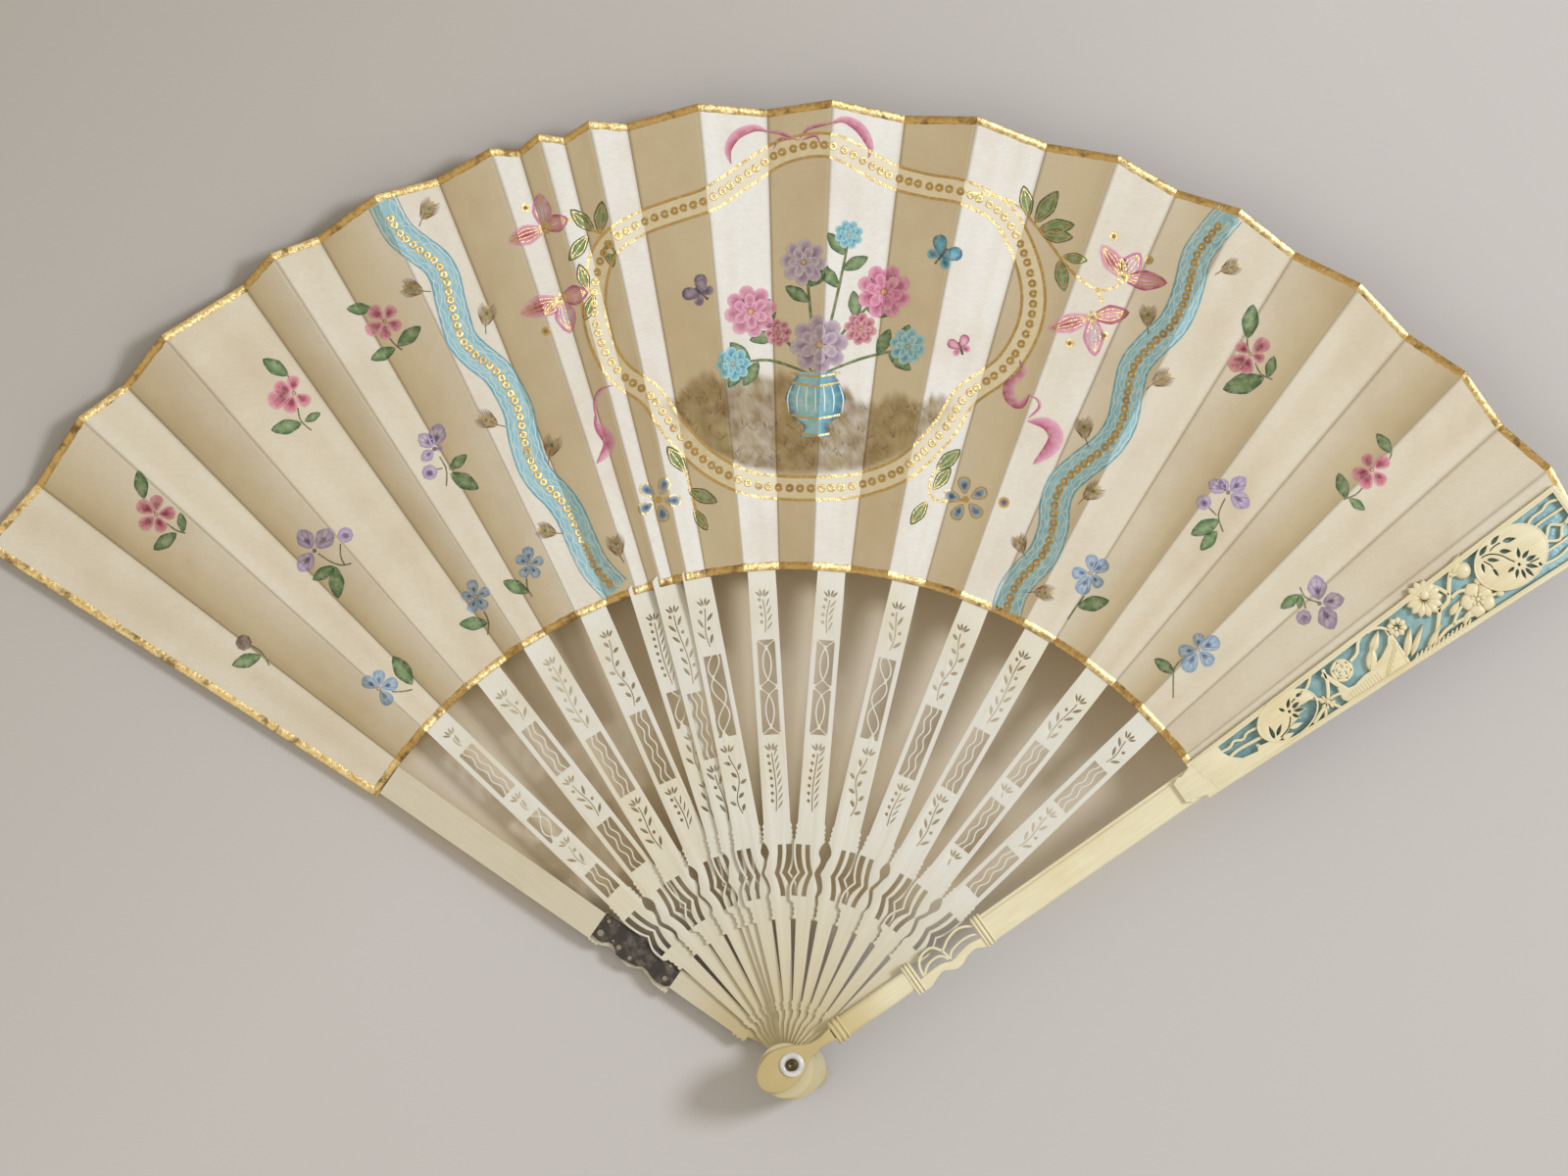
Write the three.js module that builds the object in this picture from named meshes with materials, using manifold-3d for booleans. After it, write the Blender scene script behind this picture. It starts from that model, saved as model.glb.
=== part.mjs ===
// A folding hand fan with two carved guards, pierced sticks and a pleated paper leaf.
// Units are millimetres. The fan lies open on its back guard. +Z is the pivot axis, +Y runs up
// the middle of the open leaf, and the origin is the foot of the rivet on the table.

import * as THREE from "three";
import { mergeVertices } from "three/addons/utils/BufferGeometryUtils.js";
import Module from "manifold-3d";

const wasm = await Module();
wasm.setup();

// Angles in degrees, counted from +X towards +Y
const backGuardAngle = 145;
const frontGuardAngle = 35;
const leafStartAngle = 147.45;
const leafEndAngle = 33.5;
const pleatTilt = 11.5;

// Folds of the leaf from the back guard to the front one, as shares of its spread.
// Ridges and valleys take turns, and the first and last values are the leaf's two ends.
const foldShares = [
  0, 0.0426, 0.0838, 0.1128, 0.1452, 0.1944, 0.2163, 0.2418,
  0.2786, 0.312, 0.3436, 0.3576, 0.3699, 0.3822, 0.3971, 0.4164,
  0.455, 0.491, 0.5252, 0.5638, 0.6016, 0.6402, 0.6779, 0.713,
  0.7473, 0.7832, 0.821, 0.857, 0.8921, 0.9254, 0.9588, 1,
];

// Leaf, measured from the pivot
const leafInnerRadius = 138;
const ridgeRadius = 269;
const valleyDrop = 2.7;
const leafThickness = 0.22;
const foldGap = 0.3;
const glueGap = 0.1;
const foldClearance = 0.2;
const foilThickness = 0.2;

// Sticks and their ribs
const stickThickness = 0.9;
const stickGap = 0.2;
const ribThickness = 0.45;
const ribWidth = 2.2;
const ribTipMargin = 4;
const ribRootLength = 5;
const seatGap = 0.3;
const headRadius = 8.2;
const headOffset = 2.5;
const neckWidth = 1.9;
const neckFlare = 3.4;
const beadPlace = 15;
const beadLength = 2;
const beadWidth = 3.1;
const lowerBladeWidth = 2.7;
const shoulderPlace = 40;
const shoulderLength = 4.6;
const shoulderWidth = 5;
const bandLength = 17.4;
const bandWidth = 9.5;
const capLength = 4.4;
const capWidth = 8.6;
const notchDepth = 0.6;
const upperBladeWidth = 7.4;
const bladeTipWidth = 7.8;
const bladeTipChamfer = 1.2;

// Openings cut through a stick
const slotCount = 4;
const slotBar = 0.8;
const slotSway = 0.45;
const bandWall = 1;
const windowLength = 25;
const windowWidth = 4.9;
const windowPlaceShare = 0.46;
const windowBar = 0.9;
const lensCount = 3;
const swayCycles = 1.25;

// Guards
const guardPanelThickness = 2.4;
const panelLap = 0.8;
const guardNeckWidth = 5;
const guardBarWidth = 6.2;
const guardBandWidth = 9.2;
const upperBarWidth = 8.2;
const upperBarTipWidth = 9;
const barChamfer = 1;
const collarSwell = 0.6;
const collarRingLength = 1.3;
const neckRingCount = 3;
const collarRingCount = 2;
const headCrown = 1;
const scallopCount = 3;
const scallopDepth = 2.2;
const scaleRows = 2;
const scaleColumns = 4;
const scaleWidth = 4.2;
const scaleHeight = 1.9;

// Carved panel at the outer end of a guard
const panelRootWidth = 11.3;
const panelTipWidth = 21.6;
const panelStartLap = 6;
const tipOverhang = 1;
const panelBorder = 1.5;
const startPlateLength = 9;
const smallOvalLength = 19;
const smallOvalWidth = 12.7;
const largeOvalLength = 23;
const largeOvalWidth = 17.6;
const carvedBar = 1.2;
const waveSway = 0.7;
const flowerRadius = 5;
const flowerPetals = 5;
const flowerRelief = 0.5;
const leafletLength = 6.4;
const leafletWidth = 2.6;
const sprigLength = 3.6;
const sprigWidth = 1.3;
const stemSway = 2.6;
const starRadius = 2.9;
const starNotchShare = 0.55;
const petalNotchShare = 0.72;
const smallOvalPlaceShare = 0.17;
const largeOvalPlaceShare = 0.79;
const trellisShare = 0.6;
const lowReliefShare = 0.7;
const middleReliefShare = 0.85;
const flowerShares = [0.15, 0.5, 0.84];
const leafletShares = [0, 0.28, 0.33, 0.62, 0.66, 0.95];

// Mend on the back guard
const mendThickness = 0.8;

// Rivet and its washers
const rivetRadius = 1.3;
const rivetHeadRadius = 1.7;
const boreClearance = 0.15;
const washerRadius = 3.5;
const washerThickness = 0.8;

// Faceting and cutting
const overrun = 1;
const weldDistance = 0.001;
const roundSteps = 20;
const ovalSteps = 18;
const swaySteps = 4;
const curveSteps = 2;
const leafStations = 6;

const radians = THREE.MathUtils.degToRad;
const ivory = { color: 0xe4dfd0, roughness: 0.45, metalness: 0 };
const oldIvory = { color: 0xe6dbb8, roughness: 0.4, metalness: 0 };
const palePaper = { color: 0xdfd7c7, roughness: 0.85, metalness: 0 };
const tanPaper = { color: 0xc6b28f, roughness: 0.85, metalness: 0 };
const blueFoil = { color: 0x6fa9b8, roughness: 0.35, metalness: 0.2 };
const darkPlate = { color: 0x2f2a26, roughness: 0.5, metalness: 0.1 };
const pearl = { color: 0xd9d5cb, roughness: 0.25, metalness: 0 };
const steel = { color: 0x57514c, roughness: 0.35, metalness: 1 };

// Worked-out sizes
const tilt = radians(pleatTilt);
const valleyRadius = ridgeRadius - valleyDrop;
const guardTip = ridgeRadius + tipOverhang;
const bladeEnd = leafInnerRadius - seatGap;
const bandStart = shoulderPlace + shoulderLength;
const bandEnd = bandStart + bandLength;
const capEnd = bandEnd + capLength;
const stickPitch = stickThickness + stickGap;
const ribLeafLow = ribThickness / 2 + glueGap;
const ribLeafHigh = ribLeafLow + leafThickness;
const boreRadius = (rivetRadius + boreClearance) / Math.cos(Math.PI / roundSteps);
const foldAngles = foldShares.map(
  (share) => leafStartAngle - share * (leafStartAngle - leafEndAngle),
);
const stickCount = foldAngles.length / 2 - 2;

// Each stick carries the leaf panel between a ridge on its left and a valley on its right.
const sticks = Array.from({ length: stickCount }, (_, i) => {
  const number = i + 1;
  const left = foldAngles[2 * number];
  const right = foldAngles[2 * number + 1];
  const half = radians(left - right) / 2;
  const rise = ridgeRadius * Math.sin(half) * Math.tan(tilt);
  return { number, left, right, half, rise, angle: (left + right) / 2 };
});

// The guards' carved panels stand back far enough for the tilted panels to close between them.
const ridgeOverLast = Math.max(
  ...sticks.map((stick) => stick.rise - (stickCount - stick.number) * stickPitch),
);
const valleyUnderFirst = Math.max(
  ...sticks.map((stick) => stick.rise - (stick.number - 1) * stickPitch),
);
const tiltedHigh = ridgeOverLast + ribLeafHigh / Math.cos(tilt);
const tiltedLow = valleyUnderFirst - ribLeafLow / Math.cos(tilt);
const guardLeafLow = Math.max(tiltedHigh, tiltedLow) + foldClearance - stickPitch + stickThickness / 2;
const foilLow = guardLeafLow + leafThickness + glueGap;
const panelLow = foilLow + foilThickness + glueGap;
const guardThickness = panelLow + panelLap;
const backGuardFace = guardPanelThickness + panelLow;
const stickLevel = (number) =>
  backGuardFace + stickGap + stickThickness / 2 + (number - 1) * stickPitch;
const frontGuardFace = stickLevel(stickCount) + stickThickness / 2 + stickGap;
const backHeadFace = backGuardFace - guardThickness;
const frontHeadFace = frontGuardFace + guardThickness;
const rivetHeadHeight = backHeadFace - washerThickness;

function solidOf(geometry) {
  const bare = new THREE.BufferGeometry();
  bare.setAttribute("position", geometry.getAttribute("position"));
  bare.setIndex(geometry.index);
  const merged = mergeVertices(bare, weldDistance);
  const vertProperties = merged.getAttribute("position").array;
  const triVerts = new Uint32Array(merged.index.array);
  return new wasm.Manifold(new wasm.Mesh({ numProp: 3, vertProperties, triVerts }));
}

function geometryOf(solid) {
  const { vertProperties, triVerts } = solid.getMesh();
  const geometry = new THREE.BufferGeometry();
  geometry.setAttribute("position", new THREE.BufferAttribute(vertProperties, 3));
  geometry.setIndex(new THREE.BufferAttribute(triVerts, 1));
  geometry.computeVertexNormals();
  return geometry;
}

const joined = (solids) => solids.reduce((sum, next) => sum.add(next));

function slab(shape, low, depth) {
  const options = { depth, bevelEnabled: false, curveSegments: curveSteps };
  return new THREE.ExtrudeGeometry(shape, options).translate(0, 0, low);
}

// A closed skin over a row of rings with equal counts, each ring right-handed about the row.
// Each face is split along its shorter diagonal, so the two sides of a thin twisted sheet agree.
function loft(rings) {
  const count = rings[0].length;
  const points = rings.flat();
  const positions = points.flatMap((point) => point.toArray());
  const index = [];
  for (let row = 0; row + 1 < rings.length; row += 1) {
    for (let column = 0; column < count; column += 1) {
      const here = row * count + column;
      const beside = row * count + ((column + 1) % count);
      const rising = points[here].distanceTo(points[beside + count]);
      const falling = points[beside].distanceTo(points[here + count]);
      if (rising <= falling) {
        index.push(here, beside, beside + count);
        index.push(here, beside + count, here + count);
      } else {
        index.push(here, beside, here + count);
        index.push(beside, beside + count, here + count);
      }
    }
  }
  const last = (rings.length - 1) * count;
  for (let column = 1; column + 1 < count; column += 1) {
    index.push(0, column + 1, column);
    index.push(last, last + column, last + column + 1);
  }
  const geometry = new THREE.BufferGeometry();
  geometry.setAttribute("position", new THREE.Float32BufferAttribute(positions, 3));
  geometry.setIndex(index);
  geometry.computeVertexNormals();
  return geometry;
}

// A strip of even width that sways along x, as an outline or as a hole
function swayingStrip(Kind, start, length, middle, width, sway, steps, cycles) {
  const line = Array.from({ length: steps + 1 }, (_, i) => {
    const share = i / steps;
    return { x: start + share * length, y: middle + sway * Math.sin(2 * Math.PI * cycles * share) };
  });
  const upper = line.map(({ x, y }) => new THREE.Vector2(x, y + width / 2));
  const lower = line.map(({ x, y }) => new THREE.Vector2(x, y - width / 2));
  return new Kind([...upper, ...lower.reverse()]);
}

// A pointed leaf from its foot (x, y) along a heading
function leaflet(Kind, x, y, length, width, heading) {
  const along = new THREE.Vector2(Math.cos(heading), Math.sin(heading));
  const across = new THREE.Vector2(-along.y, along.x);
  const foot = new THREE.Vector2(x, y);
  const tip = foot.clone().addScaledVector(along, length);
  const waist = foot.clone().addScaledVector(along, length / 2);
  const left = waist.clone().addScaledVector(across, width);
  const right = waist.clone().addScaledVector(across, -width);
  const outline = new Kind();
  outline.moveTo(foot.x, foot.y);
  outline.quadraticCurveTo(left.x, left.y, tip.x, tip.y);
  outline.quadraticCurveTo(right.x, right.y, foot.x, foot.y);
  return outline;
}

function straightBar(fromX, fromY, toX, toY, width) {
  const from = new THREE.Vector2(fromX, fromY);
  const to = new THREE.Vector2(toX, toY);
  const along = to.clone().sub(from).normalize();
  const side = new THREE.Vector2(-along.y, along.x).multiplyScalar(width / 2);
  return new THREE.Shape([
    from.clone().add(side),
    from.clone().sub(side),
    to.clone().sub(side),
    to.clone().add(side),
  ]);
}

// An outline whose radius follows a formula of the angle
function polarShape(x, y, steps, radiusAt, flatten = 1) {
  return new THREE.Shape(
    Array.from({ length: steps }, (_, i) => {
      const angle = (2 * Math.PI * i) / steps;
      const radius = radiusAt(angle, i);
      return new THREE.Vector2(
        x + radius * Math.cos(angle),
        y + radius * flatten * Math.sin(angle),
      );
    }),
  );
}

const oval = (x, length, width) => polarShape(x, 0, ovalSteps, () => length / 2, width / length);

function disc(radius, low, height) {
  const geometry = new THREE.CylinderGeometry(radius, radius, height, roundSteps);
  return geometry.rotateX(Math.PI / 2).translate(0, 0, low + height / 2);
}

// A panel of the leaf in its own plane, from its lower edge to its upper edge in y.
function leafPanel(lower, upper, slope, low) {
  const corner = (radius, edge, inset) => {
    const y = (radius * Math.sin(edge.angle)) / Math.cos(slope);
    return new THREE.Vector2(radius * Math.cos(edge.angle), y + inset);
  };
  const shape = new THREE.Shape([
    corner(leafInnerRadius, lower, foldGap / 2),
    corner(lower.radius, lower, foldGap / 2),
    corner(upper.radius, upper, -foldGap / 2),
    corner(leafInnerRadius, upper, -foldGap / 2),
  ]);
  return slab(shape, low, leafThickness);
}

// The upper side of a stick's outline, from its neck to the end of its blade
function stickSide() {
  const lowerHalf = lowerBladeWidth / 2;
  const beadEdge = beadLength / 4;
  const capEdge = capLength / 6;
  const capHalf = capWidth / 2;
  return [
    [beadPlace, neckWidth / 2],
    [beadPlace + beadEdge, beadWidth / 2],
    [beadPlace + beadLength - beadEdge, beadWidth / 2],
    [beadPlace + beadLength, lowerHalf],
    [shoulderPlace, shoulderWidth / 2],
    [shoulderPlace + notchDepth, shoulderWidth / 2 - notchDepth],
    [shoulderPlace + shoulderLength / 2, shoulderWidth / 2],
    [bandStart, bandWidth / 2],
    [bandEnd, bandWidth / 2],
    [bandEnd + capEdge, capHalf - notchDepth],
    [bandEnd + 2 * capEdge, capHalf],
    [bandEnd + 4 * capEdge, capHalf],
    [capEnd, upperBladeWidth / 2],
    [bladeEnd - bladeTipChamfer, bladeTipWidth / 2],
    [bladeEnd, bladeTipWidth / 2 - bladeTipChamfer],
  ];
}

function stickOutline() {
  const flareHalf = neckFlare / 2;
  const flareReach = Math.sqrt(headRadius ** 2 - flareHalf ** 2);
  const flareAngle = Math.atan2(flareHalf, flareReach);
  const headPoints = Array.from({ length: roundSteps }, (_, i) => {
    const turn = flareAngle + (i / (roundSteps - 1)) * 2 * (Math.PI - flareAngle);
    return new THREE.Vector2(
      headRadius * Math.cos(turn) - headOffset,
      headRadius * Math.sin(turn),
    );
  });
  const neckStart = flareReach - headOffset + neckFlare;
  const side = [[neckStart, neckWidth / 2], ...stickSide()];
  const upper = side.map(([x, y]) => new THREE.Vector2(x, y));
  const lower = side.map(([x, y]) => new THREE.Vector2(x, -y));
  return new THREE.Shape([...headPoints, ...lower, ...upper.reverse()]);
}

function bandSlots() {
  const inside = bandWidth - 2 * bandWall;
  const width = (inside - (slotCount - 1) * slotBar) / slotCount;
  const start = bandStart + bandWall;
  const length = bandLength - 2 * bandWall;
  return Array.from({ length: slotCount }, (_, i) => {
    const middle = (i - (slotCount - 1) / 2) * (width + slotBar);
    return swayingStrip(THREE.Path, start, length, middle, width, slotSway, swaySteps, swayCycles);
  });
}

// The blade's window takes one of two traditional forms: a row of lenses or two swaying slots.
function windowOpenings(stick) {
  const start = capEnd + windowPlaceShare * (bladeEnd - capEnd - windowLength);
  if (Math.abs(stick.number - (stickCount + 1) / 2) < 1) {
    const step = windowLength / lensCount;
    return Array.from({ length: lensCount }, (_, i) =>
      leaflet(THREE.Path, start + i * step, 0, step - windowBar, windowWidth, 0),
    );
  }
  const side = stick.number > stickCount / 2 ? 1 : -1;
  const width = (windowWidth - windowBar) / 2;
  return [-1, 1].map((half) => {
    const middle = (half * (width + windowBar)) / 2;
    const sway = side * slotSway;
    return swayingStrip(THREE.Path, start, windowLength, middle, width, sway, swaySteps, 1);
  });
}

function ribSolid() {
  const root = bladeEnd - ribRootLength;
  const tip = valleyRadius - ribTipMargin;
  const shape = straightBar(root, 0, tip, 0, ribWidth);
  return solidOf(slab(shape, -ribThickness / 2, ribThickness).rotateX(tilt));
}

function stickGeometry(stick) {
  const outline = stickOutline();
  const bore = new THREE.Path().absarc(0, 0, boreRadius, 0, 2 * Math.PI, true);
  const boreHole = new THREE.Path(bore.getSpacedPoints(roundSteps).slice(0, roundSteps));
  outline.holes.push(boreHole, ...bandSlots(), ...windowOpenings(stick));
  const blade = solidOf(slab(outline, -stickThickness / 2, stickThickness));
  return geometryOf(blade.add(ribSolid()));
}

// One section of a guard's bar: flat towards the sticks, chamfered on the outside
function barRing(x, width, height) {
  const half = width / 2;
  return [
    new THREE.Vector3(x, half, 0),
    new THREE.Vector3(x, half, height - barChamfer),
    new THREE.Vector3(x, half - barChamfer, height),
    new THREE.Vector3(x, barChamfer - half, height),
    new THREE.Vector3(x, -half, height - barChamfer),
    new THREE.Vector3(x, -half, 0),
  ];
}

function collarRings(place, count, width) {
  const edge = collarRingLength / 4;
  const rings = [barRing(place, width, guardThickness)];
  for (let i = 0; i < count; i += 1) {
    const start = place + i * collarRingLength;
    const swollen = width + 2 * collarSwell;
    rings.push(barRing(start + edge, swollen, guardThickness + collarSwell));
    rings.push(barRing(start + 3 * edge, swollen, guardThickness + collarSwell));
    rings.push(barRing(start + 4 * edge, width, guardThickness));
  }
  return rings;
}

// The ends of a guard's pierced section, inside its two collars
const collarLength = collarRingCount * collarRingLength;
const guardBandStart = shoulderPlace + collarLength;
const guardBandEnd = bandEnd + capLength - collarLength;

function guardBar() {
  const lower = loft([
    barRing(headRadius - headOffset - neckFlare, guardNeckWidth, guardThickness),
    ...collarRings(beadPlace, neckRingCount, guardBarWidth),
    barRing(shoulderPlace - collarRingLength, guardBarWidth, guardThickness),
    ...collarRings(shoulderPlace, collarRingCount, guardBandWidth),
  ]);
  const upper = loft([
    ...collarRings(guardBandEnd, collarRingCount, guardBandWidth),
    barRing(capEnd + collarRingLength, upperBarWidth, guardThickness),
    barRing(bladeEnd, upperBarTipWidth, guardThickness),
  ]);
  return [solidOf(lower), solidOf(upper)];
}

// The pierced section: straight towards the leaf's middle and scalloped on the outer side
function scallopOutline(start, end) {
  const half = guardBandWidth / 2;
  const step = (end - start) / scallopCount;
  const outline = new THREE.Shape();
  outline.moveTo(end, half);
  outline.lineTo(start, half);
  outline.lineTo(start, -half);
  for (let i = 1; i <= scallopCount; i += 1) {
    const x = start + i * step;
    outline.quadraticCurveTo(x - step / 2, -half - scallopDepth, x, -half);
  }
  return outline;
}

function scaleOpenings() {
  const length = guardBandEnd - guardBandStart;
  const openings = [];
  for (let row = 0; row < scaleRows; row += 1) {
    for (let column = 0; column < scaleColumns - row; column += 1) {
      const middle = (column + (row + 1) / 2) * (length / scaleColumns);
      const y = (row - (scaleRows - 1) / 2) * (scaleHeight + carvedBar) * 2;
      openings.push([guardBandStart + middle, y]);
    }
  }
  return openings.map(([x, y]) => {
    const opening = new THREE.Path();
    opening.moveTo(x - scaleWidth / 2, y - scaleHeight / 2);
    opening.quadraticCurveTo(x, y + scaleHeight * 2, x + scaleWidth / 2, y - scaleHeight / 2);
    opening.quadraticCurveTo(x, y + scaleHeight / 2, x - scaleWidth / 2, y - scaleHeight / 2);
    return opening;
  });
}

function guardBand(mended) {
  const outline = scallopOutline(guardBandStart, guardBandEnd);
  const low = mended ? mendThickness + glueGap : 0;
  if (!mended) outline.holes.push(...scaleOpenings());
  return solidOf(slab(outline, low, guardThickness - low));
}

function guardHead() {
  const profile = [
    new THREE.Vector2(0, 0),
    new THREE.Vector2(headRadius, 0),
    new THREE.Vector2(headRadius, guardThickness - headCrown),
    new THREE.Vector2(headRadius - headCrown, guardThickness),
    new THREE.Vector2(0, guardThickness),
  ];
  const head = new THREE.LatheGeometry(profile, roundSteps).rotateX(Math.PI / 2);
  return solidOf(head.rotateX(Math.PI).translate(-headOffset, 0, guardThickness));
}

const panelStart = bladeEnd - panelStartLap;
const fieldStart = bladeEnd + startPlateLength;
const fieldEnd = guardTip - panelBorder;
const fieldLength = fieldEnd - fieldStart;
const fieldPlace = (share) => fieldStart + share * fieldLength;
const smallOvalPlace = fieldPlace(smallOvalPlaceShare);
const largeOvalPlace = fieldPlace(largeOvalPlaceShare);

function panelHalfWidth(x) {
  const share = (x - bladeEnd) / (guardTip - bladeEnd);
  return (panelRootWidth + share * (panelTipWidth - panelRootWidth)) / 2;
}

function panelOutline() {
  const rootHalf = panelRootWidth / 2;
  const side = [
    [panelStart, upperBarWidth / 2 - barChamfer],
    [panelStart + panelStartLap / 3, upperBarWidth / 2],
    [panelStart + panelStartLap / 2, upperBarWidth / 2 - barChamfer / 2],
    [bladeEnd, rootHalf - barChamfer / 2],
    [bladeEnd + panelBorder, panelHalfWidth(bladeEnd + panelBorder)],
    [guardTip - panelBorder, panelHalfWidth(guardTip - panelBorder)],
    [guardTip, panelHalfWidth(guardTip) - panelBorder],
  ];
  const upper = side.map(([x, y]) => new THREE.Vector2(x, y));
  const lower = side.map(([x, y]) => new THREE.Vector2(x, -y));
  return new THREE.Shape([...lower, ...upper.reverse()]);
}

function fieldOutline() {
  const innerHalf = (x) => panelHalfWidth(x) - panelBorder;
  return new THREE.Shape([
    new THREE.Vector2(fieldStart, -innerHalf(fieldStart)),
    new THREE.Vector2(fieldEnd, -innerHalf(fieldEnd)),
    new THREE.Vector2(fieldEnd, innerHalf(fieldEnd)),
    new THREE.Vector2(fieldStart, innerHalf(fieldStart)),
  ]);
}

// Three swaying bars between two places along the field
function waveBars(from, to) {
  const spread = panelHalfWidth(from) - panelBorder;
  return [-1, 0, 1].map((row) => {
    const middle = (row * spread) / 2;
    return swayingStrip(THREE.Shape, from, to - from, middle, carvedBar, waveSway, swaySteps + 2, 1);
  });
}

function trellis(from, to) {
  const middle = (from + to) / 2;
  const half = panelHalfWidth(middle) - panelBorder / 2;
  const star = polarShape(middle, 0, 16, (_, i) => starRadius * (i % 2 ? starNotchShare : 1));
  return [
    straightBar(from, -half, to, half, carvedBar),
    straightBar(from, half, to, -half, carvedBar),
    straightBar(middle, -half, middle, half, carvedBar),
    star,
  ];
}

// Flowers and leaves along one swaying stem
function scrollWork(from, to) {
  const length = to - from;
  const stemAt = (share) => stemSway * Math.sin(3 * Math.PI * share);
  const stem = swayingStrip(
    THREE.Shape, from, length, 0, carvedBar, stemSway, swaySteps * 3, 1.5,
  );
  const leaves = leafletShares.map((share, i) => {
    const side = i % 2 ? 1 : -1;
    const x = from + share * length;
    const reach = panelHalfWidth(x) - panelBorder / 2;
    const start = stemAt(share);
    const heading = side * (Math.PI / 3);
    const span = Math.max(leafletLength, Math.abs(side * reach - start) / Math.sin(Math.PI / 3));
    return leaflet(THREE.Shape, x, start, span, leafletWidth, heading);
  });
  const flowers = flowerShares.map((share) => {
    const petal = (angle) => {
      const swell = Math.abs(Math.cos((flowerPetals * angle) / 2));
      return flowerRadius * (petalNotchShare + (1 - petalNotchShare) * swell);
    };
    return polarShape(from + share * length, stemAt(share), 4 * flowerPetals, petal);
  });
  return { stem, leaves, flowers };
}

function sprigHoles(place, length) {
  const headings = [0, 1, -1, 3, -3, 4].map((step) => (step * Math.PI) / 4.4);
  const foot = length / 12;
  return headings.map((heading) => {
    const x = place + foot * Math.cos(heading);
    const y = foot * Math.sin(heading);
    return leaflet(THREE.Path, x, y, sprigLength, sprigWidth, heading);
  });
}

function carvedPanel() {
  const depth = guardPanelThickness;
  const carved = (shape, share) => solidOf(slab(shape, panelLow, depth * share));
  const frame = carved(panelOutline(), 1);
  const opening = solidOf(slab(fieldOutline(), panelLow - overrun, depth + 2 * overrun));
  const smallOval = oval(smallOvalPlace, smallOvalLength, smallOvalWidth);
  const largeOval = oval(largeOvalPlace, largeOvalLength, largeOvalWidth);
  smallOval.holes.push(...sprigHoles(smallOvalPlace, smallOvalLength));
  largeOval.holes.push(...sprigHoles(largeOvalPlace, largeOvalLength));
  const ovalLap = panelBorder;
  const smallStart = smallOvalPlace - smallOvalLength / 2 + ovalLap;
  const smallEnd = smallOvalPlace + smallOvalLength / 2 - ovalLap;
  const largeStart = largeOvalPlace - largeOvalLength / 2 + ovalLap;
  const largeEnd = largeOvalPlace + largeOvalLength / 2 - ovalLap;
  const trellisEnd = smallEnd + smallOvalLength * trellisShare;
  const scroll = scrollWork(trellisEnd - carvedBar, largeStart);
  const low = [
    ...waveBars(fieldStart - carvedBar, smallStart),
    ...trellis(smallEnd, trellisEnd),
    ...waveBars(largeEnd, fieldEnd + carvedBar),
    scroll.stem,
  ].map((shape) => carved(shape, lowReliefShare));
  const middle = [smallOval, largeOval, ...scroll.leaves].map((shape) =>
    carved(shape, middleReliefShare),
  );
  const flowers = scroll.flowers.map((shape) =>
    solidOf(
      new THREE.ExtrudeGeometry(shape, {
        depth: depth - 2 * flowerRelief,
        bevelThickness: flowerRelief,
        bevelSize: -flowerRelief,
        bevelSegments: 1,
        bevelOffset: 0,
      }).translate(0, 0, panelLow + flowerRelief),
    ),
  );
  return joined([frame.subtract(opening), ...low, ...middle, ...flowers]);
}

function mendSeat() {
  const from = shoulderPlace;
  const length = guardBandEnd + collarLength - from;
  const width = guardBandWidth + 2 * (collarSwell + scallopDepth);
  const depth = mendThickness + glueGap;
  const cutter = new THREE.BoxGeometry(length, width, depth + overrun);
  return solidOf(cutter.translate(from + length / 2, 0, (depth - overrun) / 2));
}

function guardGeometry(mended) {
  const parts = [guardHead(), ...guardBar(), guardBand(mended), carvedPanel()];
  const bore = solidOf(disc(boreRadius, -overrun, guardThickness + 2 * overrun));
  const guard = joined(parts).subtract(bore);
  return geometryOf(mended ? guard.subtract(mendSeat()) : guard);
}

// The mend is a thin plate let into the inner face, scalloped like the section that it covers.
function mendGeometry() {
  const start = shoulderPlace + glueGap;
  const end = guardBandEnd + collarLength - glueGap;
  return slab(scallopOutline(start, end), 0, mendThickness);
}

function foilGeometry() {
  const half = (x) => panelHalfWidth(x) - panelBorder / 2;
  const start = fieldStart - panelBorder / 2;
  const end = fieldEnd + panelBorder / 2;
  const shape = new THREE.Shape([
    new THREE.Vector2(start, -half(start)),
    new THREE.Vector2(end, -half(end)),
    new THREE.Vector2(end, half(end)),
    new THREE.Vector2(start, half(start)),
  ]);
  return slab(shape, foilLow, foilThickness);
}

function washerGeometry(low) {
  const shape = polarShape(0, 0, roundSteps, () => washerRadius);
  const inner = polarShape(0, 0, roundSteps, () => boreRadius);
  shape.holes.push(new THREE.Path(inner.getPoints()));
  return slab(shape, low, washerThickness);
}

function rivetGeometry() {
  const lowWasher = backHeadFace - washerThickness;
  const highWasher = frontHeadFace + washerThickness;
  const domeEdge = rivetHeadRadius - rivetHeadHeight / 2;
  const profile = [
    new THREE.Vector2(0, lowWasher - rivetHeadHeight),
    new THREE.Vector2(domeEdge, lowWasher - rivetHeadHeight),
    new THREE.Vector2(rivetHeadRadius, lowWasher - rivetHeadHeight / 2),
    new THREE.Vector2(rivetHeadRadius, lowWasher),
    new THREE.Vector2(rivetRadius, lowWasher),
    new THREE.Vector2(rivetRadius, highWasher),
    new THREE.Vector2(rivetHeadRadius, highWasher),
    new THREE.Vector2(rivetHeadRadius, highWasher + rivetHeadHeight / 2),
    new THREE.Vector2(domeEdge, highWasher + rivetHeadHeight),
    new THREE.Vector2(0, highWasher + rivetHeadHeight),
  ];
  return new THREE.LatheGeometry(profile, roundSteps).rotateX(Math.PI / 2);
}

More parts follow.
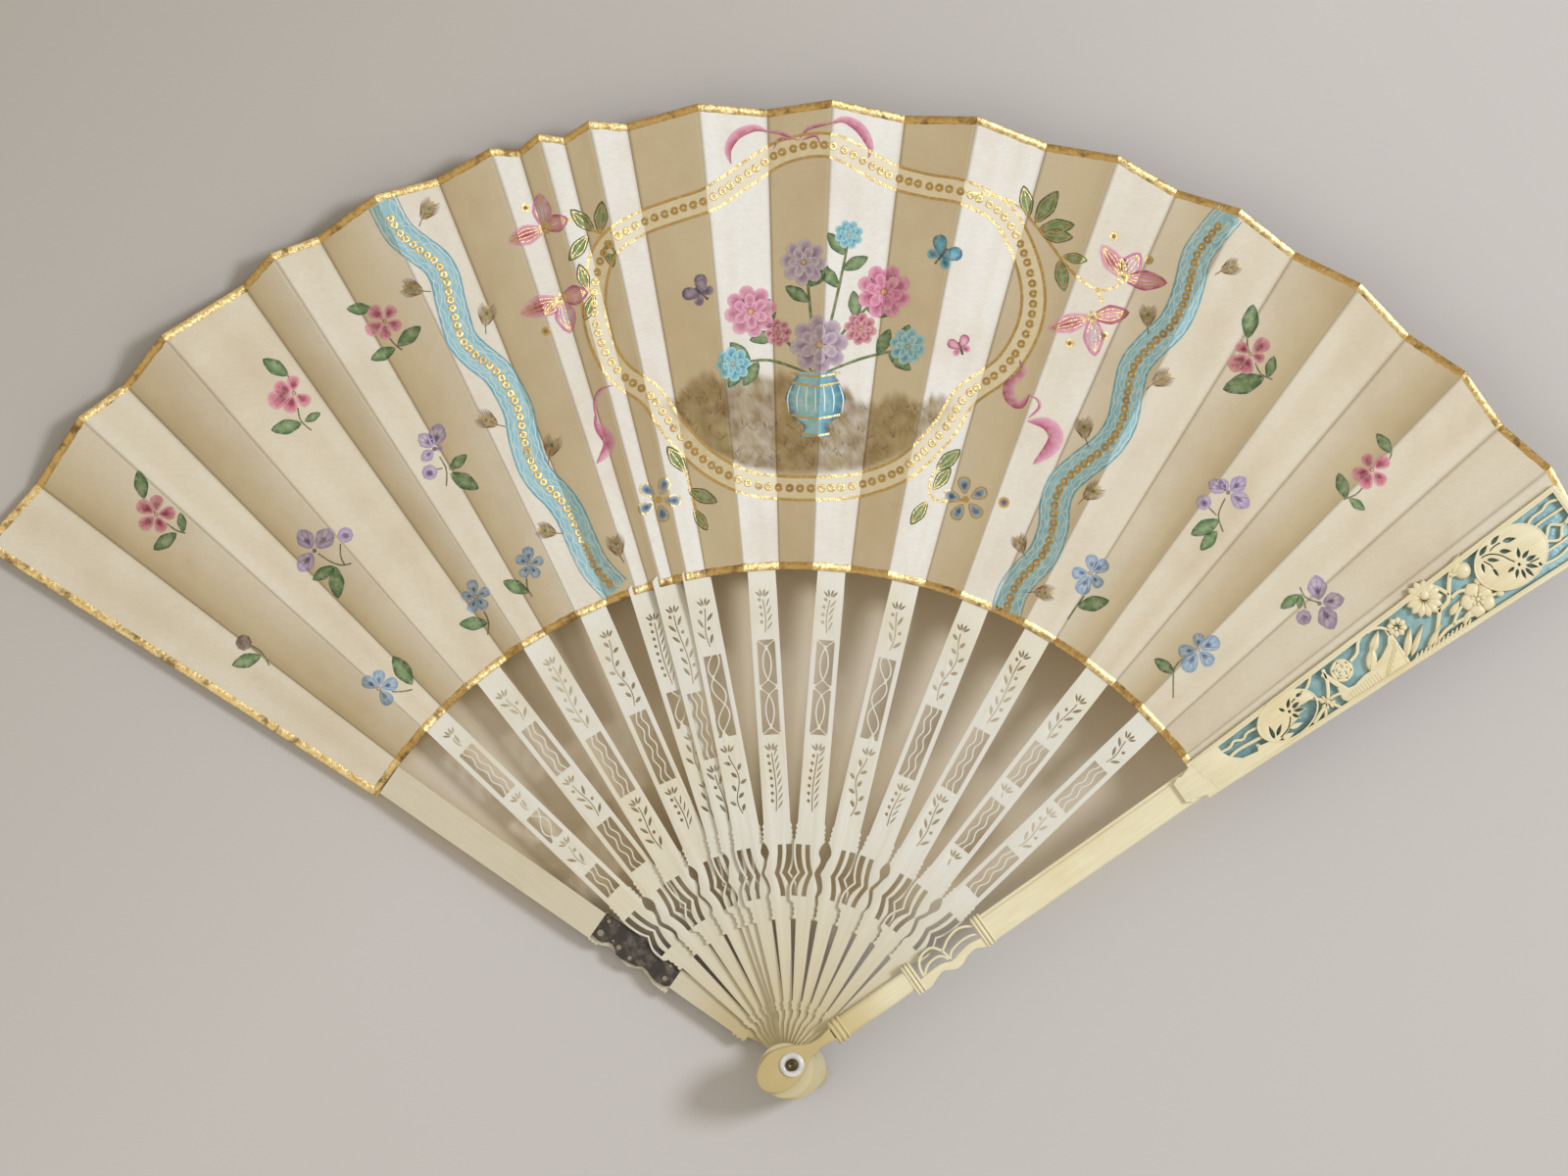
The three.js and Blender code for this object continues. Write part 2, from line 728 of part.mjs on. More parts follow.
// A point of the leaf over a fold, on the panel that a stick or a guard carries
function foldPoint(carrier, foldAngle, radius) {
  const angle = radians(foldAngle);
  const x = radius * Math.cos(angle);
  const y = radius * Math.sin(angle);
  const middle = ribLeafLow + leafThickness / 2;
  if (carrier === 0) {
    return new THREE.Vector3(x, y, backGuardFace - guardLeafLow - leafThickness / 2);
  }
  if (carrier > stickCount) {
    return new THREE.Vector3(x, y, frontGuardFace + guardLeafLow + leafThickness / 2);
  }
  const lean = angle - radians(sticks[carrier - 1].angle);
  const rise = middle / Math.cos(tilt) + radius * Math.sin(lean) * Math.tan(tilt);
  return new THREE.Vector3(x, y, stickLevel(carrier) + rise);
}

// A free panel spans from the valley of one rib's panel up to the ridge of the next.
function freePanelGeometry(number) {
  const valleyFold = foldAngles[2 * number + 1];
  const ridgeFold = foldAngles[2 * number + 2];
  const middleAngle = radians((valleyFold + ridgeFold) / 2);
  const outward = new THREE.Vector3(Math.cos(middleAngle), Math.sin(middleAngle), 0);
  const rings = Array.from({ length: leafStations }, (_, i) => {
    const share = i / (leafStations - 1);
    const radiusTo = (outer) => leafInnerRadius + share * (outer - leafInnerRadius);
    const valley = foldPoint(number, valleyFold, radiusTo(valleyRadius));
    const ridge = foldPoint(number + 1, ridgeFold, radiusTo(ridgeRadius));
    const span = ridge.clone().sub(valley).normalize();
    const up = span.clone().cross(outward).normalize().multiplyScalar(leafThickness / 2);
    if (up.z < 0) up.negate();
    valley.addScaledVector(span, foldGap / 2);
    ridge.addScaledVector(span, -foldGap / 2);
    return [
      valley.clone().sub(up),
      valley.clone().add(up),
      ridge.clone().add(up),
      ridge.clone().sub(up),
    ];
  });
  return loft(rings);
}

function addMesh(parent, name, geometry, finish) {
  const mesh = new THREE.Mesh(geometry, new THREE.MeshStandardMaterial(finish));
  mesh.name = name;
  parent.add(mesh);
  return mesh;
}

const twoDigits = (number) => String(number).padStart(2, "0");

// A guard lies along its own x axis with its outer face up, and the back one is turned over.
function addGuard(fan, place) {
  const turned = new THREE.Group();
  turned.rotation.z = radians(place.angle);
  turned.position.z = place.face;
  const guard = new THREE.Group();
  guard.rotation.x = place.turnedOver ? Math.PI : 0;
  turned.add(guard);
  fan.add(turned);
  addMesh(guard, place.name, guardGeometry(place.mended), oldIvory);
  addMesh(guard, place.foilName, foilGeometry(), blueFoil);
  const side = place.turnedOver ? -1 : 1;
  const ridge = { angle: side * radians(place.ridge - place.angle), radius: ridgeRadius };
  const valley = { angle: side * radians(place.valley - place.angle), radius: valleyRadius };
  const [lower, upper] = ridge.angle < valley.angle ? [ridge, valley] : [valley, ridge];
  addMesh(guard, place.leafName, leafPanel(lower, upper, 0, guardLeafLow), palePaper);
  if (place.mended) addMesh(guard, "mend_plate", mendGeometry(), darkPlate);
}

function addStick(fan, stick) {
  const turned = new THREE.Group();
  turned.rotation.z = radians(stick.angle);
  turned.position.z = stickLevel(stick.number);
  fan.add(turned);
  addMesh(turned, "stick_" + twoDigits(stick.number), stickGeometry(stick), ivory);
  const tilted = new THREE.Group();
  tilted.rotation.x = tilt;
  turned.add(tilted);
  const valley = { angle: -stick.half, radius: valleyRadius };
  const ridge = { angle: stick.half, radius: ridgeRadius };
  const panel = leafPanel(valley, ridge, tilt, ribLeafLow);
  addMesh(tilted, "leaf_rib_panel_" + twoDigits(stick.number), panel, palePaper);
}

const fan = new THREE.Group();
addGuard(fan, {
  name: "back_guard",
  foilName: "back_foil",
  leafName: "leaf_end_panel_back",
  angle: backGuardAngle,
  face: backGuardFace,
  turnedOver: true,
  mended: true,
  ridge: foldAngles[0],
  valley: foldAngles[1],
});
addGuard(fan, {
  name: "front_guard",
  foilName: "front_foil",
  leafName: "leaf_end_panel_front",
  angle: frontGuardAngle,
  face: frontGuardFace,
  turnedOver: false,
  mended: false,
  ridge: foldAngles[2 * stickCount + 2],
  valley: foldAngles[2 * stickCount + 3],
});
sticks.forEach((stick) => addStick(fan, stick));
for (let number = 0; number <= stickCount; number += 1) {
  const name = "leaf_free_panel_" + twoDigits(number + 1);
  addMesh(fan, name, freePanelGeometry(number), tanPaper);
}
addMesh(fan, "rivet", rivetGeometry(), steel);
addMesh(fan, "back_washer", washerGeometry(backHeadFace - washerThickness), pearl);
addMesh(fan, "front_washer", washerGeometry(frontHeadFace), pearl);

export default fan;
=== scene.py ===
# Looks of an antique folding fan: pleated painted leaf, pierced ivory sticks, carved guards.
import random
from functools import cache
from math import atan2, ceil, cos, degrees, hypot, pi, radians, sin, sqrt, tan

import bmesh
import bpy
from mathutils import Matrix, Vector, noise


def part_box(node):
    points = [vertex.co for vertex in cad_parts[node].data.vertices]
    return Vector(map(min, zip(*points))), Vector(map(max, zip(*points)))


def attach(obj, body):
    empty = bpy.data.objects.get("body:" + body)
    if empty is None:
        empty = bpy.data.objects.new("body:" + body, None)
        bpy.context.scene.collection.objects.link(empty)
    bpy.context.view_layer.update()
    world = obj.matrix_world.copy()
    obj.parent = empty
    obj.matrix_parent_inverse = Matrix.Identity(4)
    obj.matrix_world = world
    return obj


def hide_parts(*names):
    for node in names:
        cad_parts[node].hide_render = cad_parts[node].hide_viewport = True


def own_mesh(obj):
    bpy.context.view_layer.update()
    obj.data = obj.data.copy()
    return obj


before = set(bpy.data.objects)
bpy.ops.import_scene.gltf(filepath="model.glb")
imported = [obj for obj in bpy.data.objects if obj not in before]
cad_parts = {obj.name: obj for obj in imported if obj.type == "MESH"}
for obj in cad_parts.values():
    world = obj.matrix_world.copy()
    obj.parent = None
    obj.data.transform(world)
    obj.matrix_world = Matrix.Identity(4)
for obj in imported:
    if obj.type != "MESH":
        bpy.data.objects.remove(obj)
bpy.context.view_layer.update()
scene = bpy.context.scene
scene.view_settings.view_transform = "Standard"
mm = 0.001
print("frame loaded")


# Colours are written as seen, from 0 to 255, and turned into linear ones

def tone(red, green, blue):
    def linear(value):
        share = value / 255
        return share / 12.92 if share <= 0.04045 else ((share + 0.055) / 1.055) ** 2.4
    return (linear(red), linear(green), linear(blue), 1)


def between(first, second, share):
    # a tone or a point part of the way from one to another
    return tuple(a + (b - a) * share for a, b in zip(first, second))


def smooth(value, start=0, end=1):
    # the share of the way between two values, eased at both
    share = min(1, max(0, (value - start) / (end - start)))
    return share * share * (3 - 2 * share)


def put(tree, sockets, values):
    # a socket takes a link from another node or a fixed value
    for socket, value in values.items():
        if hasattr(value, "is_output"):
            tree.links.new(value, sockets[socket])
        else:
            sockets[socket].default_value = value


# Shader groups that several materials share

def newGroup(name, inputs):
    # a group that turns a place and a few numbers into one mask
    group = bpy.data.node_groups.new(name, "ShaderNodeTree")
    for label, value in inputs.items():
        kind = "NodeSocketVector" if isinstance(value, tuple) else "NodeSocketFloat"
        socket = group.interface.new_socket(label, in_out="INPUT", socket_type=kind)
        socket.default_value = value
    group.interface.new_socket("Mask", in_out="OUTPUT", socket_type="NodeSocketFloat")
    return (group, group.nodes.new("NodeGroupInput").outputs,
            group.nodes.new("NodeGroupOutput").inputs)


def node(tree, kind, values=None, **settings):
    made = tree.nodes.new(kind)
    for key, value in settings.items():
        setattr(made, key, value)
    put(tree, made.inputs, values or {})
    return made


def buildMottle():
    # soft blotches, between two edges of a noise
    group, given, leave = newGroup("softMottle", {"Place": (0, 0, 0), "Scale": 40.0,
                                                  "From": 0.4, "To": 0.7})
    cloud = node(group, "ShaderNodeTexNoise", {"Vector": given["Place"],
                 "Scale": given["Scale"], "Detail": 4.0, "Roughness": 0.6}).outputs["Fac"]
    edged = node(group, "ShaderNodeMapRange", {"Value": cloud, "From Min": given["From"],
                 "From Max": given["To"]}, interpolation_type="SMOOTHSTEP").outputs["Result"]
    put(group, leave, {"Mask": edged})
    return group


def buildGrain():
    # fine streaks drawn out along one axis
    group, given, leave = newGroup("drawnGrain", {"Place": (0, 0, 0), "Stretch": (1, 1, 1),
                                                  "Scale": 900.0})
    drawn = node(group, "ShaderNodeVectorMath", {0: given["Place"], 1: given["Stretch"]},
                 operation="MULTIPLY").outputs[0]
    streaks = node(group, "ShaderNodeTexNoise", {"Vector": drawn, "Scale": given["Scale"],
                   "Detail": 3.0, "Roughness": 0.55}).outputs["Fac"]
    put(group, leave, {"Mask": streaks})
    return group


softMottle = buildMottle()
drawnGrain = buildGrain()


def newMaterial(name):
    material = bpy.data.materials.new(name)
    material.use_nodes = True
    return material, material.node_tree


def finishMaterial(material, values):
    put(material.node_tree, material.node_tree.nodes["Principled BSDF"].inputs, values)
    return material


def mottle(tree, place, scale, start, end):
    return node(tree, "ShaderNodeGroup", {"Place": place, "Scale": scale, "From": start,
                "To": end}, node_tree=softMottle).outputs["Mask"]


def grain(tree, place, stretch, scale):
    return node(tree, "ShaderNodeGroup", {"Place": place, "Stretch": stretch,
                "Scale": scale}, node_tree=drawnGrain).outputs["Mask"]


def ranged(tree, value, start, end, low=0, high=1):
    return node(tree, "ShaderNodeMapRange", {"Value": value, "From Min": start,
                "From Max": end, "To Min": low, "To Max": high}).outputs["Result"]


def times(tree, value, factor):
    return node(tree, "ShaderNodeMath", {0: value, 1: factor}, operation="MULTIPLY").outputs[0]


def ownPlace(tree):
    return node(tree, "ShaderNodeAttribute", attribute_name="ownPlace").outputs["Vector"]


def washAndPlace(tree):
    # the wash attribute holds the ground colour of the leaf and its paint, with painted shade on
    # the shaded pleats and in the creases
    return (node(tree, "ShaderNodeAttribute", attribute_name="wash").outputs["Color"],
            node(tree, "ShaderNodeTexCoord").outputs["Object"])


def mixColour(tree, share, first, second, blend="MIX"):
    return node(tree, "ShaderNodeMix", {0: share, 6: first, 7: second}, data_type="RGBA",
                blend_type=blend).outputs[2]


def bumpFrom(tree, height, strength, distance):
    return node(tree, "ShaderNodeBump", {"Height": height, "Strength": strength,
                "Distance": distance}).outputs["Normal"]


def ivoryMaterial(name, look):
    material, tree = newMaterial(name)
    place = ownPlace(tree)
    stains = mottle(tree, place, look["stainScale"], look["stainFrom"], look["stainTo"])
    lines = grain(tree, place, (0.06, 1, 1), look["grainScale"])
    lined = ranged(tree, lines, 0.35, 0.75, 0, look["grainShare"])
    along = node(tree, "ShaderNodeSeparateXYZ", {"Vector": place}).outputs["X"]
    handled = ranged(tree, along, 0.01, look["handledReach"], look["handledShare"], 0)
    colour = mixColour(tree, stains, look["colour"], look["stain"])
    colour = mixColour(tree, lined, colour, look["line"])
    return finishMaterial(material, {
        "Base Color": mixColour(tree, handled, colour, look["handled"]),
        "Roughness": look["roughness"], "Coat Weight": look["coat"], "Coat Roughness": 0.3,
        "Specular IOR Level": 0.4, "Normal": bumpFrom(tree, lines, 0.25, 0.00012)})


stickIvory = ivoryMaterial("stickIvory", {
    "colour": tone(219, 219, 213), "stain": tone(215, 208, 185), "line": tone(198, 190, 168),
    "stainScale": 26.0, "stainFrom": 0.5, "stainTo": 0.78, "grainScale": 2600.0,
    "grainShare": 0.22, "roughness": 0.42, "coat": 0.12, "handled": tone(200, 187, 144),
    "handledShare": 0.85, "handledReach": 0.068})
guardLook = {
    "colour": tone(229, 223, 194), "stain": tone(223, 210, 171), "line": tone(200, 184, 139),
    "stainScale": 38.0, "stainFrom": 0.42, "stainTo": 0.72, "grainScale": 1900.0,
    "grainShare": 0.3, "roughness": 0.36, "coat": 0.2, "handled": tone(186, 169, 117),
    "handledShare": 0.88, "handledReach": 0.034}
frontIvory = ivoryMaterial("frontIvory", guardLook)
# painted shade: the back guard takes a little darker and greyer copy of the guard ivory, for the
# shade it lies in
backIvoryShaded = ivoryMaterial("backIvoryShaded", {
    **guardLook, "colour": tone(205, 199, 180), "stain": tone(199, 188, 159),
    "line": tone(186, 170, 130)})


def paperMaterial():
    # fibres and stains over the wash
    material, tree = newMaterial("leafPaper")
    wash, place = washAndPlace(tree)
    fibre = grain(tree, place, (0.45, 1, 1), 1300.0)
    broad = times(tree, mottle(tree, place, 34.0, 0.38, 0.72), 0.2)
    spots = times(tree, mottle(tree, place, 210.0, 0.62, 0.8), 0.16)
    colour = mixColour(tree, broad, wash, tone(206, 178, 134), "MULTIPLY")
    colour = mixColour(tree, spots, colour, tone(190, 170, 140), "MULTIPLY")
    return finishMaterial(material, {
        "Base Color": mixColour(tree, ranged(tree, fibre, 0.3, 0.75, 0, 0.16), colour,
                                tone(176, 160, 132)),
        "Roughness": 0.72, "Specular IOR Level": 0.3, "Sheen Weight": 0.08,
        "Normal": bumpFrom(tree, fibre, 0.35, 0.0001)})


def paintMaterial():
    material, tree = newMaterial("leafPaint")
    wash, place = washAndPlace(tree)
    pooled = times(tree, mottle(tree, place, 520.0, 0.42, 0.66), 0.2)
    return finishMaterial(material, {
        "Base Color": mixColour(tree, pooled, wash, tone(226, 218, 200)), "Roughness": 0.7})


def goldMaterial(name, look):
    # leaf gold: pale bright metal, duller where it has worn, multiplied by the wash, which darkens
    # it with painted shade on the shaded pleats
    material, tree = newMaterial(name)
    wash, place = washAndPlace(tree)
    worn = mottle(tree, place, look["patches"], look["worn"] - 0.08, look["worn"] + 0.1)
    fine = mottle(tree, place, 900.0, 0.35, 0.75)
    bright = mixColour(tree, fine, look["bright"], look["pale"])
    return finishMaterial(material, {
        "Base Color": mixColour(tree, 1.0, mixColour(tree, worn, bright, look["dull"]), wash,
                                "MULTIPLY"),
        "Metallic": ranged(tree, worn, 0, 1, 0.8, 0.2),
        "Roughness": ranged(tree, fine, 0, 1, 0.3, 0.48),
        "Normal": bumpFrom(tree, fine, 0.4, 0.0002)})


def mottledMaterial(name, blotches, first, second, values, strength=0):
    # two tones in soft blotches that follow a piece's own place
    material, tree = newMaterial(name)
    mask = mottle(tree, ownPlace(tree), *blotches)
    if strength:
        values["Normal"] = bumpFrom(tree, mask, strength, 0.0003)
    return finishMaterial(material, {"Base Color": mixColour(tree, mask, first, second),
                                     **values})


leafPaper = paperMaterial()
leafPaint = paintMaterial()
goldBinding = goldMaterial("goldBinding", {
    "patches": 230.0, "worn": 0.58, "bright": tone(222, 190, 122), "pale": tone(246, 230, 184),
    "dull": tone(140, 112, 60)})
goldPaint = goldMaterial("goldPaint", {
    "patches": 150.0, "worn": 0.56, "bright": tone(214, 184, 122), "pale": tone(240, 222, 172),
    "dull": tone(196, 172, 118)})
sequinGold = goldMaterial("sequinGold", {
    "patches": 120.0, "worn": 0.6, "bright": tone(206, 176, 112), "pale": tone(236, 218, 166),
    "dull": tone(168, 138, 80)})
print("materials made")


# Places on the fan

def toMesh(bm, name, materials):
    mesh = bpy.data.meshes.new(name)
    bm.to_mesh(mesh)
    bm.free()
    piece = bpy.data.objects.new(name, mesh)
    scene.collection.objects.link(piece)
    for material in materials:
        mesh.materials.append(material)
    return piece


def mergeInto(target, source):
    held = bpy.data.meshes.new("held")
    source.to_mesh(held)
    source.free()
    target.from_mesh(held)
    bpy.data.meshes.remove(held)


def cutOff(bm, place, normal, outer=True):
    geometry = bm.verts[:] + bm.edges[:] + bm.faces[:]
    bmesh.ops.bisect_plane(bm, geom=geometry, dist=1e-5, plane_co=place, plane_no=normal,
                           clear_outer=outer)


def facesOf(verts):
    return list({f for v in verts for f in v.link_faces})


def spun(bm, profile, segments, closed=False):
    # a profile of radius and height turned a full round about the upright axis
    verts = [bm.verts.new((radius, 0, height)) for radius, height in profile]
    edges = [bm.edges.new(pair) for pair in zip(verts, verts[1:])]
    if closed:
        edges.append(bm.edges.new((verts[-1], verts[0])))
    bmesh.ops.spin(bm, geom=verts + edges, axis=(0, 0, 1), cent=(0, 0, 0), steps=segments,
                   angle=2 * pi, use_merge=True)
    bmesh.ops.remove_doubles(bm, verts=bm.verts, dist=1e-4)


fan = {
    "startAngle": 147.45, "endAngle": 33.5, "backAngle": 145.0, "frontAngle": 35.0,
    "innerRadius": 138.0, "ridgeRadius": 269.0, "valleyRadius": 266.3,
    "tilt": radians(11.5), "paper": 0.22, "overRib": 0.435, "stickThickness": 0.9,
    "foldShares": [
        0, 0.0426, 0.0838, 0.1128, 0.1452, 0.1944, 0.2163, 0.2418, 0.2786, 0.312, 0.3436,
        0.3576, 0.3699, 0.3822, 0.3971, 0.4164, 0.455, 0.491, 0.5252, 0.5638, 0.6016, 0.6402,
        0.6779, 0.713, 0.7473, 0.7832, 0.821, 0.857, 0.8921, 0.9254, 0.9588, 1],
}
foldAngles = [radians(fan["startAngle"] - share * (fan["startAngle"] - fan["endAngle"]))
              for share in fan["foldShares"]]
stickCount = len(foldAngles) // 2 - 2
panelCount = len(foldAngles) - 1


def middleLevel(name):
    low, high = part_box(name)
    return (low.z + high.z) / 2 / mm


def boxLevels(name):
    low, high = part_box(name)
    return low.z / mm, high.z / mm


def stickAngle(number):
    return (foldAngles[2 * number] + foldAngles[2 * number + 1]) / 2


def foldRadius(fold, share):
    outer = fan["valleyRadius"] if fold % 2 else fan["ridgeRadius"]
    return fan["innerRadius"] + share * (outer - fan["innerRadius"])


def foldPoint(fold, share):
    # a place on a fold, from the leaf's inner edge to its outer one
    radius = foldRadius(fold, share)
    return (radius * cos(foldAngles[fold]), radius * sin(foldAngles[fold]))


def onward(place, heading, forward, aside=0):
    # the point some way ahead of a place and to its left
    return (place[0] + forward * cos(heading) - aside * sin(heading),
            place[1] + forward * sin(heading) + aside * cos(heading))


def pathLength(start, end):
    return hypot(end[0] - start[0], end[1] - start[1])


def headingOf(start, end):
    return atan2(end[1] - start[1], end[0] - start[0])


levels = {number: middleLevel(f"stick_{number:02d}") for number in range(1, stickCount + 1)}
endLevels = {0: middleLevel("leaf_end_panel_back"),
             stickCount + 1: middleLevel("leaf_end_panel_front")}


def foldHeight(carrier, fold, radius):
    # mid height of the paper over a fold, on the panel that this stick or guard carries
    if carrier in endLevels:
        return endLevels[carrier]
    lean = foldAngles[fold] - stickAngle(carrier)
    over = fan["overRib"] / cos(fan["tilt"]) + radius * sin(lean) * tan(fan["tilt"])
    return levels[carrier] + over


def panelCarriers(panel):
    return (panel // 2, (panel + 1) // 2)


def heightAt(panel, x, y):
    # mid height of a panel's paper over a point of the plan
    angle = atan2(y, x)
    radius = hypot(x, y)
    start, end = foldAngles[panel], foldAngles[panel + 1]
    share = (radius - fan["innerRadius"]) / (fan["valleyRadius"] - fan["innerRadius"])
    left, right = foldRadius(panel, share), foldRadius(panel + 1, share)
    fromLeft, fromRight = left * sin(start - angle), right * sin(angle - end)
    across = min(1, max(0, fromLeft / (fromLeft + fromRight)))
    first, second = panelCarriers(panel)
    low = foldHeight(first, panel, radius)
    high = foldHeight(second, panel + 1, radius)
    swell = 4 * across * (1 - across) * (0.35 if panel % 2 else 0.06)
    ripple = noise.noise(Vector((x * 0.045, y * 0.045, panel))) * swell
    ripple += noise.noise(Vector((x * 0.16, y * 0.16, panel + 7))) * 0.3 * swell
    return low + (high - low) * across + ripple


# Painting: flat marks in the plan, in millimetres, cut along the folds when a panel is made

photo = {"pivotX": 808, "pivotY": 1085, "scale": 0.2737}


def at(column, row):
    return ((column - photo["pivotX"]) * photo["scale"], (photo["pivotY"] - row) * photo["scale"])


def formOf(bm):
    # points and faces of a shape that operators have made, to be laid down many times
    bm.verts.index_update()
    form = {"points": [tuple(v.co) for v in bm.verts],
            "faces": [[v.index for v in f.verts] for f in bm.faces]}
    bm.free()
    return form


def discForm(segments):
    bm = bmesh.new()
    bmesh.ops.create_circle(bm, cap_ends=True, cap_tris=True, segments=segments, radius=1)
    spokes = [e for e in bm.edges if min(v.co.length for v in e.verts) < 0.5]
    bmesh.ops.subdivide_edges(bm, edges=spokes, cuts=2, use_grid_fill=True)
    return formOf(bm)


@cache
def stripForm(along, across):
    bm = bmesh.new()
    bmesh.ops.create_grid(bm, x_segments=along, y_segments=across, size=1)
    return formOf(bm)


petalForm = discForm(14)
leafForm = discForm(22)
dotForm = discForm(8)
marks = []


def addMark(points, faces, tones, layer, finish="paint", cover=1.0):
    # cover is how much of the paper's tone, with its painted pleat shade, the paint hides
    angles = [atan2(y, x) for x, y in points]
    marks.append({"points": points, "faces": faces, "tones": tones, "layer": layer,
                  "finish": finish, "cover": cover, "low": min(angles), "high": max(angles)})


def blob(x, y, length, width, heading, inner, outer, layer, kind="petal", finish="paint"):
    # a petal, leaf or dot whose foot is at x, y and whose tone runs from its middle to its rim
    points, tones = [], []
    form = {"dot": dotForm, "leaf": leafForm, "petal": petalForm}[kind]
    for px, py, _ in form["points"]:
        rim = min(1, hypot(px, py))
        along = (1 + px) / 2
        side = py
        if kind == "leaf":
            side = py * max(0, 1 - px * px) ** 0.3 * (1 + 0.14 * cos(px * 26) * rim)
        if kind == "petal":
            side = py * (0.5 + 0.75 * along)
        if kind == "dot":
            along = px / 2
        points.append(onward((x, y), heading, length * along, width / 2 * side))
        tones.append(between(inner, outer, rim ** 1.6))
    addMark(points, form["faces"], tones, layer, finish)


def flowing(points, count):
    # even points on a smooth line through the given ones, each with its heading
    closed = points[0] == points[-1]
    last = len(points) - 1
    line = []
    for i in range(count + 1):
        place = i / count * last
        k = min(int(place), last - 1)
        t = place - k
        near = [points[j % last if closed else min(max(j, 0), last)] for j in range(k - 1, k + 3)]
        line.append([0.5 * (2 * b + (c - a) * t + (2 * a - 5 * b + 4 * c - d) * t * t
                            + (3 * b - a - 3 * c + d) * t ** 3) for a, b, c, d in zip(*near)])
    before = [line[-2] if closed else line[0]] + line[:-1]
    after = line[1:] + [line[1] if closed else line[-1]]
    return [(x, y, headingOf(a, b)) for (x, y), a, b in zip(line, before, after)]


def evenly(points, step):
    # places a fixed step apart along a smooth line
    fine = flowing(points, 24 * (len(points) - 1))
    gaps = [pathLength(a, b) for a, b in zip(fine, fine[1:])]
    step = sum(gaps) / max(1, round(sum(gaps) / step))
    made, walked, wanted = [fine[0]], 0, step
    for gap, place in zip(gaps, fine[1:]):
        walked += gap
        if walked >= wanted - 1e-6:
            made.append(place)
            wanted += step
    return made


def stroke(points, width, colour, layer, finish="paint", across=1, taper=0.0, detail=1.6,
           cover=1.0):
    # a brush stroke along a smooth line; colour is one tone or a function of the two shares
    line = evenly(points, detail)
    count = len(line) - 1
    form = stripForm(count, across)
    places, tones = [], []
    for px, py, _ in form["points"]:
        i = round((px + 1) / 2 * count)
        x, y, heading = line[i]
        share = i / count
        side = py * width / 2 * (1 - taper * abs(2 * share - 1) ** 2)
        places.append(onward((x, y), heading, 0, side))
        tones.append(colour(share, py) if callable(colour) else colour)
    addMark(places, form["faces"], tones, layer, finish, cover)


paint = {
    "leafDark": tone(52, 84, 52), "leafLight": tone(118, 146, 96), "stem": tone(104, 106, 78),
    "maroonDark": tone(120, 34, 62), "maroon": tone(176, 84, 110), "rose": tone(214, 150, 164),
    "purpleDark": tone(70, 52, 92), "purple": tone(150, 132, 172), "mauve": tone(188, 174, 200),
    "blueDark": tone(50, 66, 112), "blue": tone(122, 146, 180), "sky": tone(164, 188, 206),
    "pink": tone(196, 112, 152), "pinkDark": tone(156, 60, 104), "blush": tone(218, 162, 188),
    "crimson": tone(162, 54, 92),
    "ribbon": tone(140, 186, 200), "ribbonDark": tone(98, 152, 172), "foam": tone(196, 220, 224),
    "brown": tone(98, 72, 42), "hair": tone(132, 106, 62), "ink": tone(58, 52, 52),
    "gold": tone(214, 176, 98), "ochre": tone(160, 126, 70), "ochreDark": tone(124, 94, 48),
}


def leafMark(x, y, length, width, heading, layer=3, gold=False):
    blob(x, y, length, width, heading, paint["leafLight"], paint["leafDark"], layer, "leaf")
    tip = onward((x, y), heading, length * 0.92)
    stroke([(x, y), tip], 0.22, paint["leafLight"], layer + 1, "gold" if gold else "paint")
    for side in (-1, 1) if gold else ():
        middle = onward((x, y), heading, length / 2, side * width * 0.42)
        stroke([(x, y), middle, tip], 0.28, paint["gold"], layer + 1, "gold")


petalLooks = {
    "maroon": {"heart": paint["maroonDark"], "middle": paint["maroon"], "rim": paint["rose"],
               "width": 0.74, "centre": tone(206, 190, 140)},
    "purple": {"heart": paint["purpleDark"], "middle": paint["mauve"], "rim": paint["purple"],
               "width": 0.62, "kind": "leaf", "centre": tone(104, 110, 84)},
    "blue": {"heart": paint["blueDark"], "middle": paint["sky"], "rim": paint["blue"],
             "width": 0.72, "centre": tone(206, 196, 158)},
}
